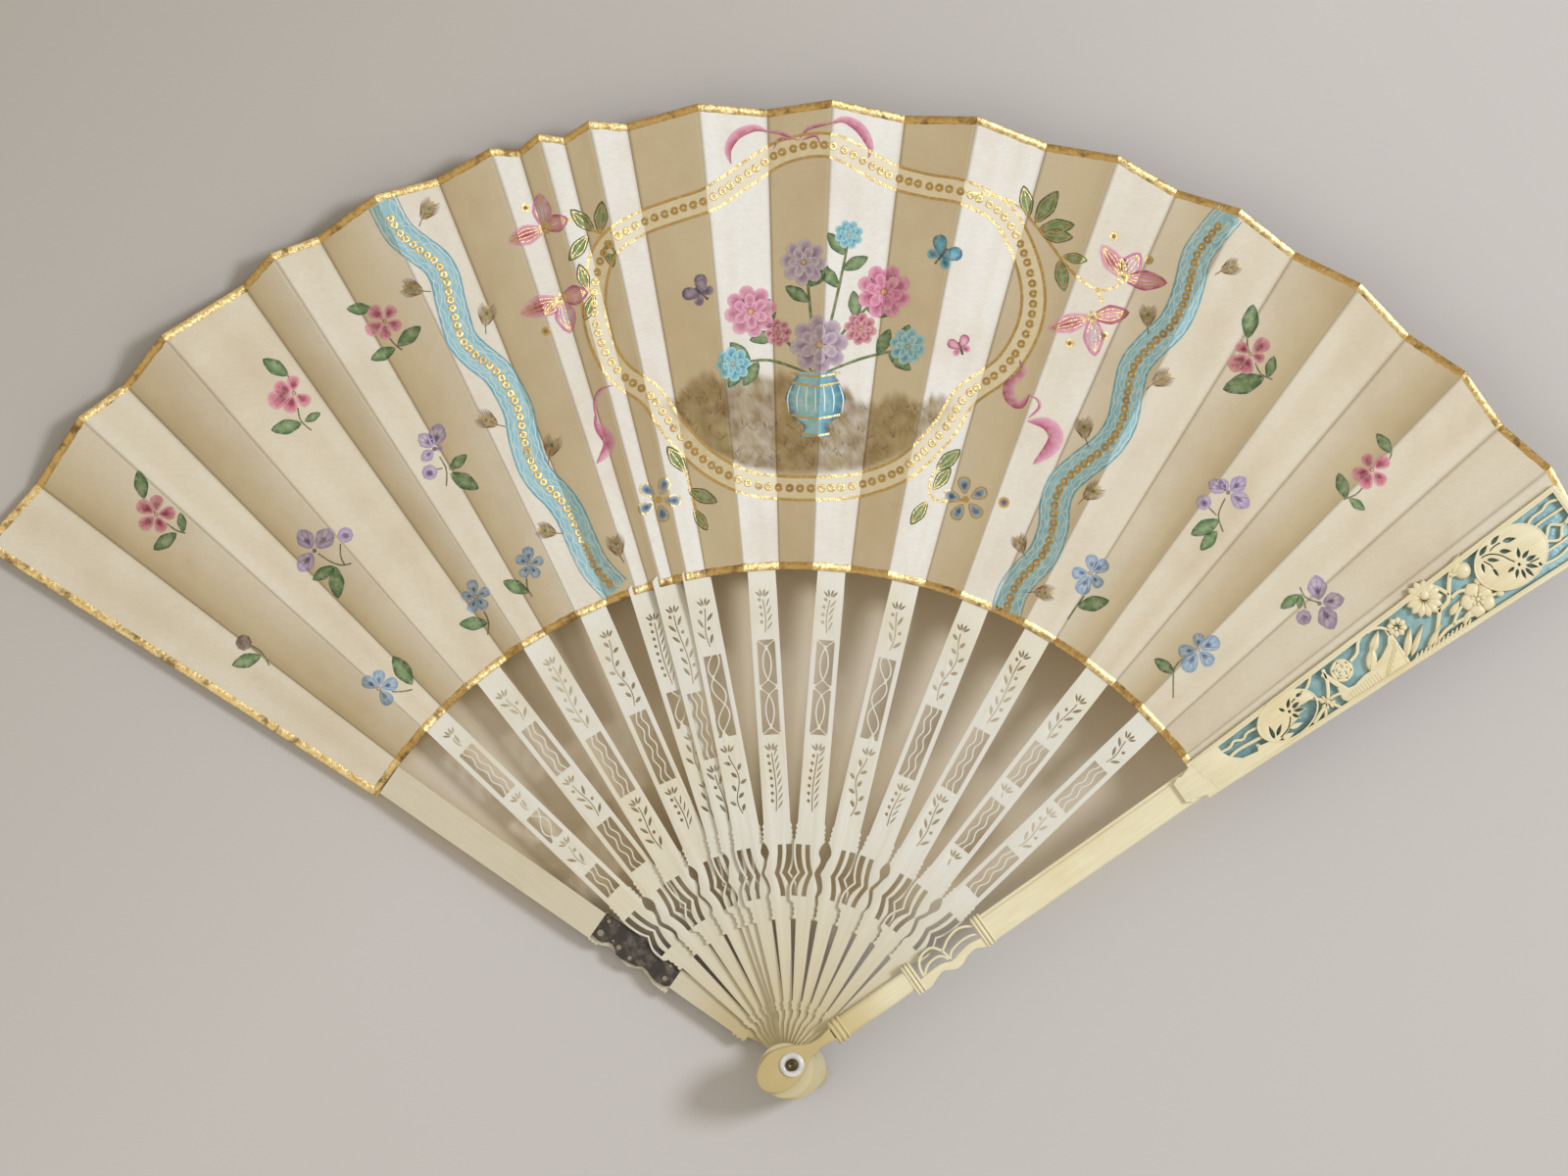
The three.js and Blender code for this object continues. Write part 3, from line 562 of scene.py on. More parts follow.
# Sprigs as they stand in the photo, in its pixels: heart, petal tips, leaves, stems and buds
sprigs = [
    ("maroon", (158, 525), [(139, 513), (159, 505), (178, 523), (142, 539), (165, 543)],
     [((146, 509), (140, 480)), ((186, 543), (183, 523)), ((179, 544), (155, 561))],
     [[(147, 510), (158, 525)], [(169, 534), (178, 541), (188, 544)]]),
    ("maroon", (299, 401), [(279, 393), (273, 411), (294, 421), (315, 412), (298, 383)],
     [((293, 383), (267, 366)), ((310, 430), (326, 421)), ((307, 432), (276, 439))],
     [[(293, 383), (299, 401)], [(303, 416), (306, 429), (317, 439)]]),
    ("maroon", (392, 328), [(377, 313), (401, 312), (409, 334), (393, 346), (373, 339)],
     [((379, 315), (353, 315)), ((405, 353), (429, 333)), ((403, 355), (378, 367))],
     [[(379, 315), (392, 328)], [(397, 345), (403, 352), (410, 357)]]),
    ("maroon", (1275, 362), [(1293, 348), (1261, 351), (1253, 376), (1269, 382), (1289, 368)],
     [((1272, 346), (1278, 311)), ((1292, 386), (1299, 364)), ((1289, 386), (1247, 398))],
     [[(1275, 362), (1272, 354), (1272, 346)], [(1280, 371), (1285, 382), (1297, 388)]]),
    ("maroon", (1398, 480), [(1391, 464), (1415, 468), (1411, 495), (1389, 499), (1378, 486)],
     [((1418, 463), (1403, 443)), ((1372, 509), (1364, 483)), ((1375, 509), (1391, 521))],
     [[(1418, 463), (1416, 469)], [(1390, 496), (1382, 505), (1369, 510)]]),
    ("purple", (320, 562), [(304, 541), (339, 540), (304, 583)],
     [((340, 578), (318, 592)), ((341, 578), (344, 611))],
     [[(324, 565), (336, 573), (348, 577), (358, 575)], [(347, 555), (347, 568), (351, 576)]],
     [(352, 546)]),
    ("purple", (443, 458), [(448, 432), (427, 443), (430, 470), (451, 457)],
     [((458, 479), (476, 464)), ((459, 483), (488, 499))],
     [[(448, 466), (455, 479), (455, 496)], [(443, 479), (451, 478)]], [(438, 482)]),
    ("purple", (1252, 503), [(1270, 488), (1274, 517), (1232, 492), (1244, 489)],
     [((1243, 531), (1214, 546)), ((1241, 542), (1224, 562))],
     [[(1249, 509), (1242, 526), (1247, 543)], [(1232, 518), (1240, 526)]], [(1227, 513)]),
    ("purple", (1345, 616), [(1341, 587), (1370, 611), (1359, 642)],
     [((1325, 607), (1305, 621)), ((1326, 606), (1324, 621))],
     [[(1345, 615), (1331, 610), (1325, 599)], [(1331, 621), (1328, 610)]], [(1329, 630)]),
    ("blue", (386, 703), [(386, 684), (405, 696), (398, 719), (369, 693)],
     [((420, 699), (400, 670))], [[(399, 706), (410, 706), (420, 704)]]),
    ("blue", (485, 609), [(480, 592), (499, 602), (496, 621), (480, 625), (470, 608)],
     [((497, 636), (468, 637))], [[(493, 624), (498, 634), (497, 648)]]),
    ("blue", (540, 576), [(538, 558), (554, 571), (549, 589), (532, 589), (526, 569)],
     [((539, 605), (513, 593))], [[(537, 590), (538, 601), (543, 609)]]),
    ("blue", (1221, 663), [(1222, 646), (1243, 653), (1236, 678), (1208, 685), (1201, 665)],
     [((1197, 687), (1177, 672))], [[(1205, 672), (1197, 682), (1196, 696), (1196, 712)]]),
    ("blue", (1112, 585), [(1114, 566), (1130, 574), (1123, 599), (1101, 606), (1093, 585)],
     [((1099, 619), (1131, 613))], [[(1106, 608), (1097, 620), (1089, 632)]]),
]


def petalTo(heart, tip, look, layer=4):
    # a petal with a pale rim, a dark spot at its foot and a few fine veins
    heading, length = headingOf(heart, tip), pathLength(heart, tip)
    width, kind = length * look["width"], look.get("kind", "petal")
    foot, near = onward(heart, heading, 0.13 * length), onward(heart, heading, 0.24 * length)
    blob(*foot, 0.87 * length, width, heading, look["middle"], look["rim"], layer, kind)
    blob(*near, 0.44 * length, 0.5 * width, heading, look["heart"], look["middle"], layer + 1)
    for lean in (-0.34, 0, 0.34):
        stroke([near, onward(foot, heading + lean, 0.76 * length)], 0.17,
               between(look["heart"], look["rim"], 0.3), layer + 2, taper=0.6, detail=2.5)


def drawSprig(kind, heart, petals, leaves, stems, buds=()):
    look = petalLooks[kind]
    heart = at(*heart)
    for line in stems:
        stroke([at(*p) for p in line], 0.42, paint["stem"], 2)
    for foot, tip in leaves:
        foot, tip = at(*foot), at(*tip)
        length = pathLength(foot, tip)
        leafMark(*foot, length, 0.44 * length, headingOf(foot, tip))
    for tip in petals:
        petalTo(heart, at(*tip), look)
    blob(*heart, 1.2, 1.2, 0, look["centre"], look["heart"], 7, "dot")
    for bud in buds:
        x, y = at(*bud)
        blob(x, y, 4.4, 4.4, 0, look["middle"], look["rim"], 4, "dot")
        blob(x, y - 0.3, 2.4, 2.2, 0, look["heart"], look["rim"], 5, "dot")


for sprig in sprigs:
    drawSprig(*sprig)
# one bud stands alone by the left guard
budX, budY = at(247, 656)
blob(budX, budY, 4.6, 4.6, 2.4, paint["brown"], tone(118, 96, 96), 4, "dot")
stroke([(budX + 2, budY - 0.8), (budX + 5, budY - 2.7), (budX + 7.2, budY - 6.4)], 0.42,
       paint["stem"], 2)
leafMark(budX + 4.9, budY - 3.7, 8.6, 3.6, pi + 0.32)


# Two blue ribbons with sequins down their middles, and feather sprigs beside them

ribbons = {
    "width": 8.4, "sequinStep": 2.45,
    "left": [(390, 206), (406, 236), (427, 254), (444, 267), (454, 284), (459, 306), (465, 328),
             (471, 346), (484, 361), (506, 379), (518, 397), (529, 420), (534, 447), (543, 475),
             (554, 492), (569, 507), (582, 526), (593, 551), (607, 579), (628, 602)],
    "right": [(1254, 218), (1234, 242), (1220, 263), (1212, 294), (1204, 317), (1193, 335),
              (1174, 353), (1157, 374), (1150, 402), (1144, 431), (1129, 455), (1103, 476),
              (1084, 494), (1076, 515), (1074, 539), (1064, 566), (1045, 587), (1033, 604),
              (1026, 626)],
    "feathers": [(431, 222, 1.0, 1), (430, 297, 2.9, 1), (495, 331, 1.45, 1), (506, 433, 2.7, 1),
                 (560, 465, 1.3, 1), (566, 544, 2.9, 0.9), (632, 566, 1.9, 1),
                 (1246, 277, 0.35, 0.9), (1170, 332, 1.5, 0.95), (1176, 392, 0.5, 1),
                 (1107, 447, 1.7, 1), (1106, 508, 0.6, 1), (1043, 563, 1.9, 0.85),
                 (1056, 604, -0.1, 0.9)],
}
sequins = []


def ribbonTone(share, side):
    edge = abs(side) ** 4
    shade = 0.5 + 0.5 * sin(share * 21) * side
    base = between(paint["ribbon"], paint["ribbonDark"], 0.45 * shade + 0.4 * edge)
    return between(base, paint["foam"], 0.12 * (1 - edge))


def beside(line, offsets):
    # points to the left of places that carry their heading, at one distance or one for each
    if not isinstance(offsets, list):
        offsets = [offsets] * len(line)
    return [onward((x, y), h, 0, offset) for (x, y, h), offset in zip(line, offsets)]


def ribbon(points):
    line = [at(*p) for p in points]
    half = ribbons["width"] / 2
    stroke(line, 2 * half, ribbonTone, 1, across=8, taper=0.14, detail=0.9)
    fine = evenly(line, 0.55)
    draw = random.Random(len(points))
    for lane in (-0.84, 0.84):
        sway = [half * lane + 0.16 * sin(i * 0.9) for i in range(len(fine))]
        stroke(beside(fine, sway), 0.26, paint["foam"], 3, detail=0.8)
    for lane in (-0.58, -0.34, 0.34, 0.58):
        shift = draw.uniform(0, 6)
        sway = [half * (lane + 0.15 * sin(i * 0.62 + shift) * cos(i * 0.23 + lane * 9))
                for i in range(len(fine))]
        stroke(beside(fine, sway), 0.24, between(paint["foam"], paint["ribbon"], 0.3), 3,
               detail=0.7)
    for side in (-0.99, 0.99):
        stroke(beside(fine, half * side), 0.3, paint["ribbonDark"], 3)
    sequins.extend(evenly(line, ribbons["sequinStep"])[1:-1])


plume = {
    "down": (tone(150, 122, 78), tone(196, 176, 136)), "quill": [(-2.6, -0.5), (0, 0), (3.6, 0.1)],
    "barbs": 11, "barbRoot": -0.6, "barbStep": 0.46, "barbReach": 1.25, "barbSwell": 1.5,
    # place, length, width, tones and layer of the eye and its middle
    "eyes": [(2.9, 2.3, 1.9, tone(108, 128, 70), paint["ochre"], 4),
             (3.0, 1.1, 0.9, tone(44, 62, 58), tone(92, 122, 76), 5)],
}


def feather(column, row, heading, size):
    # an eyed feather: barbs sweep forward from its quill round a green eye
    def along(forward, side):
        return onward(at(column, row), heading, size * forward, size * side)

    blob(*along(plume["barbRoot"], 0), 6.2 * size, 3.3 * size, heading, *plume["down"], 2, "leaf")
    stroke([along(*p) for p in plume["quill"]], 0.26, paint["brown"], 3, detail=2)
    for i in range(plume["barbs"]):
        forward = plume["barbRoot"] + plume["barbStep"] * i
        reach = plume["barbReach"] + plume["barbSwell"] * sin(pi * (i + 1.5) / 13)
        for side in (-1, 1):
            barb = [along(forward, 0), along(forward + 0.9, side * reach * 0.55),
                    along(forward + 2.1, side * reach)]
            shade = between(paint["brown"], paint["hair"], (i * 7 + side) % 3 / 2)
            stroke(barb, 0.27, shade, 3, taper=0.8, detail=1.5)
    for forward, length, width, inner, outer, layer in plume["eyes"]:
        blob(*along(forward, 0), length * size, width * size, heading, inner, outer, layer, "dot")


ribbon(ribbons["left"])
ribbon(ribbons["right"])
for column, row, heading, size in ribbons["feathers"]:
    feather(column, row, heading, size)


# The gold lobed frame, its sequins, and what grows from it

frameLine = {
    "right": [(850, 150), (905, 178), (945, 190), (985, 198), (1025, 222), (1050, 275),
              (1052, 325), (1028, 372), (985, 405), (962, 440), (925, 476), (885, 493), (850, 498)],
    "left": [(800, 498), (760, 492), (722, 472), (690, 440), (664, 404), (632, 380), (612, 345),
             (606, 300), (618, 255), (650, 230), (690, 215), (725, 203), (762, 178), (800, 155)],
    "band": 6.4, "line": 0.8, "sequinStep": 2.9,
}
cartouche = [at(*p) for p in frameLine["right"] + frameLine["left"]]
cartouche.append(cartouche[0])
ringLine = evenly(cartouche, 2.0)
stroke(cartouche, frameLine["band"], tone(216, 202, 162), 1, across=2, cover=0.45)
for offset in (-0.5, 0.5):
    stroke(beside(ringLine, offset * frameLine["band"]), frameLine["line"], paint["gold"], 3,
           "gold")
sequins.extend(evenly(cartouche, frameLine["sequinStep"])[:-1])


lilyLook = {
    "tones": [(paint["crimson"], paint["blush"]), (paint["mauve"], paint["pink"]),
              (paint["blush"], paint["crimson"])],
    "fullness": 1.15, "veins": (-0.4, -0.14, 0.14, 0.4), "stamens": 7, "budSize": 2.6,
}


def lily(column, row, petals, buds):
    foot = at(column, row)
    for k, (heading, length, width) in enumerate(petals):
        blob(*foot, length, width * lilyLook["fullness"], heading, *lilyLook["tones"][k % 3], 4,
             "leaf")
        for bow in lilyLook["veins"]:
            stroke([foot, onward(foot, heading, length * 0.5, bow * width),
                    onward(foot, heading, length * 0.92)], 0.26, paint["gold"], 5, "gold")
    for i in range(lilyLook["stamens"]):
        blob(*onward(foot, i * 0.9, 1.3), 1, 1, 0, paint["gold"], paint["gold"], 6, "dot",
             "gold")
    size = lilyLook["budSize"]
    for bud in buds:
        blob(*at(*bud), size, size, 0, paint["ochre"], paint["gold"], 4, "dot", "gold")
        blob(*at(*bud), size / 2, size / 2, 0, paint["ochreDark"], paint["ochre"], 5, "dot")


def vine(points, leaves):
    line = [at(*p) for p in points]
    stroke(line, 0.75, tone(150, 128, 66), 2, "gold")
    for column, row, heading, length in leaves:
        leafMark(*at(column, row), length, length * 0.4, heading, 3, True)


vine([(985, 197), (1030, 205), (1060, 235), (1095, 280), (1125, 297), (1150, 285)],
     [(1050, 222, 1.75, 9), (1056, 228, 0.95, 11), (1060, 234, 0.1, 10), (1062, 240, -0.1, 9),
      (1084, 262, -0.2, 7), (1080, 266, -1.4, 9)])
vine([(1118, 295), (1126, 312)], [])
vine([(645, 236), (612, 238), (590, 226), (568, 222)],
     [(612, 238, 1.5, 9), (606, 236, 2.4, 9), (600, 240, -2.2, 9), (618, 245, -1.3, 8)])
vine([(612, 300), (596, 296), (585, 310)], [(600, 297, 1.9, 8), (606, 300, -1.9, 8)])
lily(1145, 284, [(2.15, 11, 4.2), (0.95, 8.5, 4.6), (-0.12, 12.5, 4.4), (1.65, 6, 3)],
     [(1136, 242), (1172, 266)])
lily(1114, 324, [(3.42, 13, 4.2), (-1.5, 11, 4.6), (0.12, 10.5, 4.2)], [(1091, 351), (1126, 343)])
lily(556, 233, [(3.5, 11, 4.4), (1.75, 10, 4.2), (0.4, 7, 4)], [(536, 212)])
lily(572, 305, [(3.5, 12, 4.8), (-1.3, 10, 4.6), (0.25, 8, 4.4), (-2.4, 7, 3.4)], [(557, 338)])


def swirl(points, width):
    stroke([at(*p) for p in points], width,
           lambda share, side: between(paint["crimson"], paint["blush"], 0.5 + 0.5 * side), 3,
           across=4, taper=0.9, detail=1.0)


# The width and the line of each swirl
swirls = [
    (2.7, [(746, 168), (743, 153), (752, 138), (770, 131), (784, 135)]),
    (1.1, [(778, 133), (796, 136), (806, 140), (815, 144)]),
    (1.1, [(815, 144), (823, 133), (838, 128), (856, 126)]),
    (2.9, [(848, 126), (862, 123), (878, 132), (888, 150), (886, 162)]),
    (0.9, [(789, 153), (795, 142), (808, 143)]),
    (0.9, [(817, 144), (832, 139), (837, 149)]),
    (3.2, [(1040, 368), (1043, 380), (1031, 391), (1029, 404), (1040, 414), (1050, 403)]),
    (0.9, [(1050, 404), (1058, 408), (1060, 417), (1048, 428)]),
    (4.3, [(1048, 430), (1068, 433), (1077, 446), (1070, 460), (1054, 474)]),
    (1.1, [(626, 393), (612, 399), (607, 412), (609, 430)]),
    (3.4, [(607, 424), (611, 436), (621, 449), (619, 460), (609, 473)]),
]
for width, points in swirls:
    swirl(points, width)


def goldFlower(column, row, turn):
    middle = at(column, row)
    for i in range(5):
        heading = turn + 2 * pi * i / 5
        foot = onward(middle, heading, 1.5)
        blob(*foot, 5, 3.9, heading, paint["gold"], paint["gold"], 4, finish="gold")
        blob(*onward(foot, heading, 0.5), 4, 2.9, heading, paint["blueDark"], paint["sky"], 5)
    blob(*middle, 2, 2, 0, paint["gold"], paint["gold"], 6, "dot", "gold")


goldFlower(985, 510, 0.4)
goldFlower(672, 510, 1.2)
blob(*at(1024, 513), 3.4, 3.4, 0, paint["blueDark"], paint["gold"], 4, "dot")
vine([(948, 505), (960, 512), (985, 510)], [(952, 500, 0.9, 8), (946, 512, -2.2, 8)])
vine([(700, 480), (706, 505), (712, 528)], [(700, 482, 2.2, 9), (702, 500, -0.4, 9),
                                            (708, 520, -1.0, 7)])
vine([(948, 505), (950, 488), (962, 470)], [(955, 480, 0.7, 9)])
print("ornament painted:", len(marks), "marks")


# A plain flower-pot still life fills the middle of the frame, on a washed ground

ground = {"middle": 825, "reach": 400, "top": 340, "foot": 500, "level": 391, "inset": 13,
          "fadeAbove": 9, "fadeBelow": 5}
groundEdge = sorted((column, row) for column, row in frameLine["right"] + frameLine["left"]
                    if row > 400)


def groundShare(x, y):
    # how much of the ochre wash lies at a point: it fills the frame's foot to its inner edge
    column, row = x / photo["scale"] + photo["pivotX"], photo["pivotY"] - y / photo["scale"]
    if abs(column - ground["middle"]) >= ground["reach"] or row < ground["top"] \
            or row > ground["foot"]:
        return 0
    bottom = 0
    for (a, low), (b, high) in zip(groundEdge, groundEdge[1:]):
        if a <= column < b:
            bottom = low + (high - low) * (column - a) / (b - a) - ground["inset"]
    if not bottom:
        return 0
    top = ground["level"] + 16 * sin(column * 0.021 + 1)
    top += 20 * noise.noise(Vector((column * 0.03, 0, 3)))
    top += 8 * noise.noise(Vector((column * 0.13, 0, 8)))
    share = min(1, max(0, (row - top) / ground["fadeAbove"]))
    share *= min(1, max(0, (bottom - row) / ground["fadeBelow"]))
    blotch = 0.5 + 0.8 * noise.noise(Vector((column * 0.09, row * 0.09, 9)))
    blotch += 0.5 * noise.noise(Vector((column * 0.3, row * 0.3, 2)))
    return share * min(1, max(0.4, 0.8 + 0.42 * (blotch - 0.5)))


pot = {
    "foot": (832, 446), "width": 62, "height": 66,
    "profile": [(0, 0.5), (0.08, 0.42), (0.16, 0.36), (0.34, 0.8), (0.6, 1), (0.84, 0.78),
                (0.94, 0.62), (1, 0.8)],
    "bands": [(0.05, 0.46), (0.34, 0.8), (0.84, 0.78), (0.99, 0.82)],
}


def pixelBlob(column, row, length, width, heading, inner, outer, layer, kind="petal"):
    blob(*at(column, row), length * photo["scale"], width * photo["scale"], heading, inner,
         outer, layer, kind)


def potTone(side):
    base = between(tone(74, 150, 176), tone(164, 208, 216), 0.5 - 0.5 * side)
    return between(base, tone(46, 98, 130), abs(side) ** 4)


def flowerPot():
    column, row = pot["foot"]
    half, height, profile = pot["width"] / 2, pot["height"], pot["profile"]
    last = len(profile) - 1
    strip = stripForm(3 * last, 8)
    points, tones = [], []
    for px, py, _ in strip["points"]:
        place = (px + 1) / 2 * last
        k = min(int(place), last - 1)
        (low, narrow), (high, wide) = profile[k:k + 2]
        rise = low + (high - low) * (place - k)
        reach = narrow + (wide - narrow) * smooth(place - k)
        points.append(at(column + py * half * reach, row - rise * height))
        tones.append(potTone(py))
    addMark(points, strip["faces"], tones, 5)
    for rise, reach in pot["bands"]:
        stroke([at(column + side * half * reach, row - rise * height + sag * reach)
                for side, sag in ((-1, 0), (0, 5), (1, 0))], 0.55, paint["gold"], 7, "gold")
    for i in range(-3, 4):
        stroke([at(column + i * spread, row - rise * height)
                for spread, rise in ((9, 0.38), (9.5, 0.6), (8, 0.8))], 0.4,
               tone(222, 236, 236), 6, taper=0.6)


def peony(column, row, size, inner, outer, turn):
    for ring, (count, reach) in enumerate(((8, 1), (6, 0.68), (4, 0.4))):
        for i in range(count):
            heading = turn + ring * 0.4 + 2 * pi * i / count
            pixelBlob(column, row, size * reach, size * 0.62 * reach, heading,
                      between(inner, outer, 0.25 * ring), outer, 8 + ring)
    pixelBlob(column, row, size * 0.3, size * 0.3, 0, paint["gold"], inner, 12, "dot")


def butterfly(column, row, size, heading, wing, rim):
    for side in (-1, 1):
        pixelBlob(column, row, size, size * 0.7, heading + side * 0.75, wing, rim, 6)
        pixelBlob(column, row, size * 0.65, size * 0.5, heading + side * 2.0, rim, wing, 6)
    reach = size * 0.45 * photo["scale"]
    stroke([onward(at(column, row), heading, end * reach) for end in (-1, 1)], 0.6,
           paint["ink"], 8)


def bouquet():
    stems = [((832, 384), (806, 352), (770, 322)), ((832, 384), (828, 330), (822, 268)),
             ((834, 384), (860, 340), (900, 300)), ((832, 384), (786, 368), (752, 372)),
             ((834, 384), (880, 366), (924, 356)), ((832, 384), (850, 320), (866, 246))]
    for stem in stems:
        stroke([at(*p) for p in stem], 0.8, tone(96, 112, 60), 4, taper=0.4)
        for share, side in ((0.35, 1), (0.6, -1), (0.8, 1)):
            rise = -headingOf(stem[1], stem[2])
            leafMark(*at(*between(stem[1], stem[2], share)), 8, 3.4, rise + side * 0.9, 5)
    pink, pale = paint["pinkDark"], tone(150, 204, 214)
    teal, maroon, rose = tone(52, 128, 160), paint["maroonDark"], paint["rose"]
    for column, row, size, inner, outer, turn in (
            (766, 318, 27, pink, paint["blush"], 0.2),
            (820, 268, 24, tone(120, 98, 128), tone(196, 182, 200), 0.7),
            (902, 298, 28, pink, tone(222, 150, 182), 0.4),
            (836, 352, 30, tone(126, 104, 130), tone(190, 172, 190), 0.1),
            (866, 240, 15, teal, pale, 0.3), (748, 372, 18, teal, pale, 0.9),
            (926, 354, 19, teal, tone(164, 206, 214), 0.5),
            (878, 336, 17, maroon, rose, 0.6), (794, 340, 14, maroon, rose, 0.1)):
        peony(column, row, size, inner, outer, turn)


def groundTufts():
    draw = random.Random(11)
    for _ in range(120):
        foot = draw.uniform(668, 1000), draw.uniform(404, 476)
        if groundShare(*at(*foot)) <= 0.4:
            continue
        for _ in range(4):
            heading = pi / 2 + draw.uniform(-1.1, 1.1)
            tip = onward(foot, -heading, draw.uniform(5, 11))
            shade = between(paint["ochreDark"], paint["ink"], draw.uniform(0, 0.35))
            stroke([at(*foot), at(*tip)], 0.3, shade, 2, taper=0.8, detail=2)


flowerPot()
bouquet()
groundTufts()
butterfly(716, 300, 20, 2.4, tone(150, 130, 160), tone(84, 70, 104))
butterfly(960, 262, 22, 0.9, tone(110, 176, 196), tone(44, 92, 124))
butterfly(980, 356, 15, 1.9, tone(222, 160, 186), paint["pinkDark"])
print("middle painted:", len(marks), "marks in all")


# The leaf: 31 pleats, each with its paper, painting, sequins and gilt edges in one piece

leaf = {
    "step": 1.1, "binding": 2.2, "bindingWrap": 1.5, "bindingRise": 0.05, "overlap": 0.13,
    "layerRise": 0.011, "keep": 0.005, "clearance": 0.345, "ribHalf": 0.25,
    "sequinProfile": [(0.3, 0.0), (0.36, 0.08), (0.56, 0.12), (0.8, 0.07), (0.96, 0.08),
                      (1.02, 0.0)],
    "flattened": {29: 0.85},
    # painted shade: tones of the lit and the shaded pleats, and the deep shade of creases and dark
    # sides
    "light": tone(230, 231, 231), "lightOuter": tone(216, 210, 195), "shaded": tone(193, 177, 145),
    "deepShade": tone(154, 137, 102), "soil": tone(118, 92, 46), "moss": tone(142, 122, 72),
    "age": tone(200, 184, 152), "back": tone(205, 172, 118),
    "paintShade": (0.8, 0.78, 0.7, 1), "sequinRadius": 1.14,
    "goldLight": (1, 1, 1, 1), "goldShaded": (0.66, 0.57, 0.42, 1),
}


def acrossOf(panel, x, y):
    start, end = foldAngles[panel], foldAngles[panel + 1]
    return min(1, max(0, (start - atan2(y, x)) / (start - end)))


def paperToneAndShade(panel, x, y, across):
    # painted shade: the shaded pleats are darkest on their outer side and fade to the lit tone away
    # from the fan's middle, standing in for light and shade on the tilted pleats; age streaks and
    # the ochre ground wash are the paper's own colour
    radius = hypot(x, y)
    turned = 2 * panel / (panelCount - 1) - 1
    fromDark = across if turned < 0 else 1 - across
    wander = 0.16 * noise.noise(Vector((radius * 0.02, panel, 6)))
    # painted shade: the lit pleats grow a little darker toward the guards
    light = between(leaf["light"], leaf["lightOuter"], smooth((abs(turned) - 0.25) / 0.45))
    if panel % 2:
        fade = smooth((fromDark + wander - 0.1) / 0.95) * smooth((abs(turned) - 0.3) / 0.4)
        shade = between(leaf["shaded"], light, 0.78 * fade)
        shade = between(shade, leaf["deepShade"], 0.5 * (1 - smooth(fromDark * 3.5)) * abs(turned))
        # the nearly flat pleat by the front guard takes less painted shade
        shade = between(shade, light, leaf["flattened"].get(panel, 0) * smooth(across * 2.5))
    else:
        # painted shade: the lit pleats also darken a little across their middle toward the guards
        fade = smooth((abs(turned) - 0.3) / 0.4) * smooth(1 - abs(across - 0.55 + wander) * 3)
        shade = between(light, leaf["shaded"], 0.2 * fade)
    streak = 0.5 + 0.5 * noise.noise(Vector((degrees(atan2(y, x)) * 1.1, radius * 0.008, 4)))
    shade = between(shade, leaf["age"], 0.3 * streak ** 2)
    # painted shade along the creases
    crease = max(0, 1 - min(across, 1 - across) * 16)
    shade = between(shade, leaf["deepShade"], 0.3 * crease ** 2)
    wash = groundShare(x, y)
    soil = between(leaf["soil"], leaf["moss"], 0.5 + noise.noise(Vector((x * 0.2, y * 0.2, 1))))
    return between(shade, soil, 0.94 * wash)


def addPaper(bm, wash, panel):
    start, end = foldAngles[panel], foldAngles[panel + 1]
    across = max(4, ceil((start - end) * fan["valleyRadius"] / leaf["step"]))
    along = ceil((fan["ridgeRadius"] - fan["innerRadius"]) / leaf["step"])
    front = bmesh.ops.create_grid(bm, x_segments=along, y_segments=across, size=1)["verts"]
    for v in front:
        share, side = (v.co.x + 1) / 2, (1 - v.co.y) / 2
        x, y = between(foldPoint(panel, share), foldPoint(panel + 1, share), side)
        v.co = (x, y, heightAt(panel, x, y) + fan["paper"] / 2)
        v[wash] = paperToneAndShade(panel, x, y, side)
    bmesh.ops.solidify(bm, geom=facesOf(front), thickness=fan["paper"])
    for v in set(bm.verts) - set(front):
        v[wash] = leaf["back"]
    for f in bm.faces:
        f.smooth = True


def goldShadeTone(panel):
    # painted shade: gold on the shaded pleats is darkened, on the lit ones it stays bright
    return leaf["goldShaded"] if panel % 2 else leaf["goldLight"]


def foldPlane(fold):
    angle = foldAngles[fold]
    return Vector((-sin(angle), cos(angle), 0))


def chordPlane(panel, share, inset):
    # the edge of a panel as a line across it, moved in by an inset, and its outward normal
    a = foldRadius(panel, share) * Vector((cos(foldAngles[panel]), sin(foldAngles[panel]), 0))
    b = foldRadius(panel + 1, share) * Vector((cos(foldAngles[panel + 1]),
                                               sin(foldAngles[panel + 1]), 0))
    normal = Vector((a.y - b.y, b.x - a.x, 0)).normalized()
    if normal.dot(a) < 0:
        normal.negate()
    return a - inset * normal, normal


def addMarks(bm, wash, panel):
    flat = bmesh.new()
    flatWash = flat.verts.layers.float_color.new("wash")
    for mark in marks:
        if mark["high"] < foldAngles[panel + 1] or mark["low"] > foldAngles[panel]:
            continue
        gold = mark["finish"] == "gold"
        verts = []
        for (x, y), shade in zip(mark["points"], mark["tones"]):
            v = flat.verts.new((x, y, mark["layer"] * leaf["layerRise"]))
            if gold:
                shade = goldShadeTone(panel)
            elif mark["cover"] < 1:
                paper = paperToneAndShade(panel, x, y, acrossOf(panel, x, y))
                shade = between(paper, shade, mark["cover"])
            # painted shade: paint on the shaded pleats is darkened
            elif panel % 2:
                shade = tuple(a * b for a, b in zip(shade, leaf["paintShade"]))
            v[flatWash] = shade
            verts.append(v)
        for corners in mark["faces"]:
            flat.faces.new([verts[i] for i in corners]).material_index = 2 if gold else 1
    cutOff(flat, (0, 0, 0), foldPlane(panel))
    cutOff(flat, (0, 0, 0), -foldPlane(panel + 1))
    cutOff(flat, *chordPlane(panel, 1, 0.6))
    cutOff(flat, chordPlane(panel, 0, -0.6)[0], -chordPlane(panel, 0, 0)[1])
    for v in flat.verts:
        v.co.z += heightAt(panel, v.co.x, v.co.y) + leaf["overlap"]
    for f in flat.faces:
        f.normal_update()
        if f.normal.z < 0:
            f.normal_flip()
    mergeInto(bm, flat)


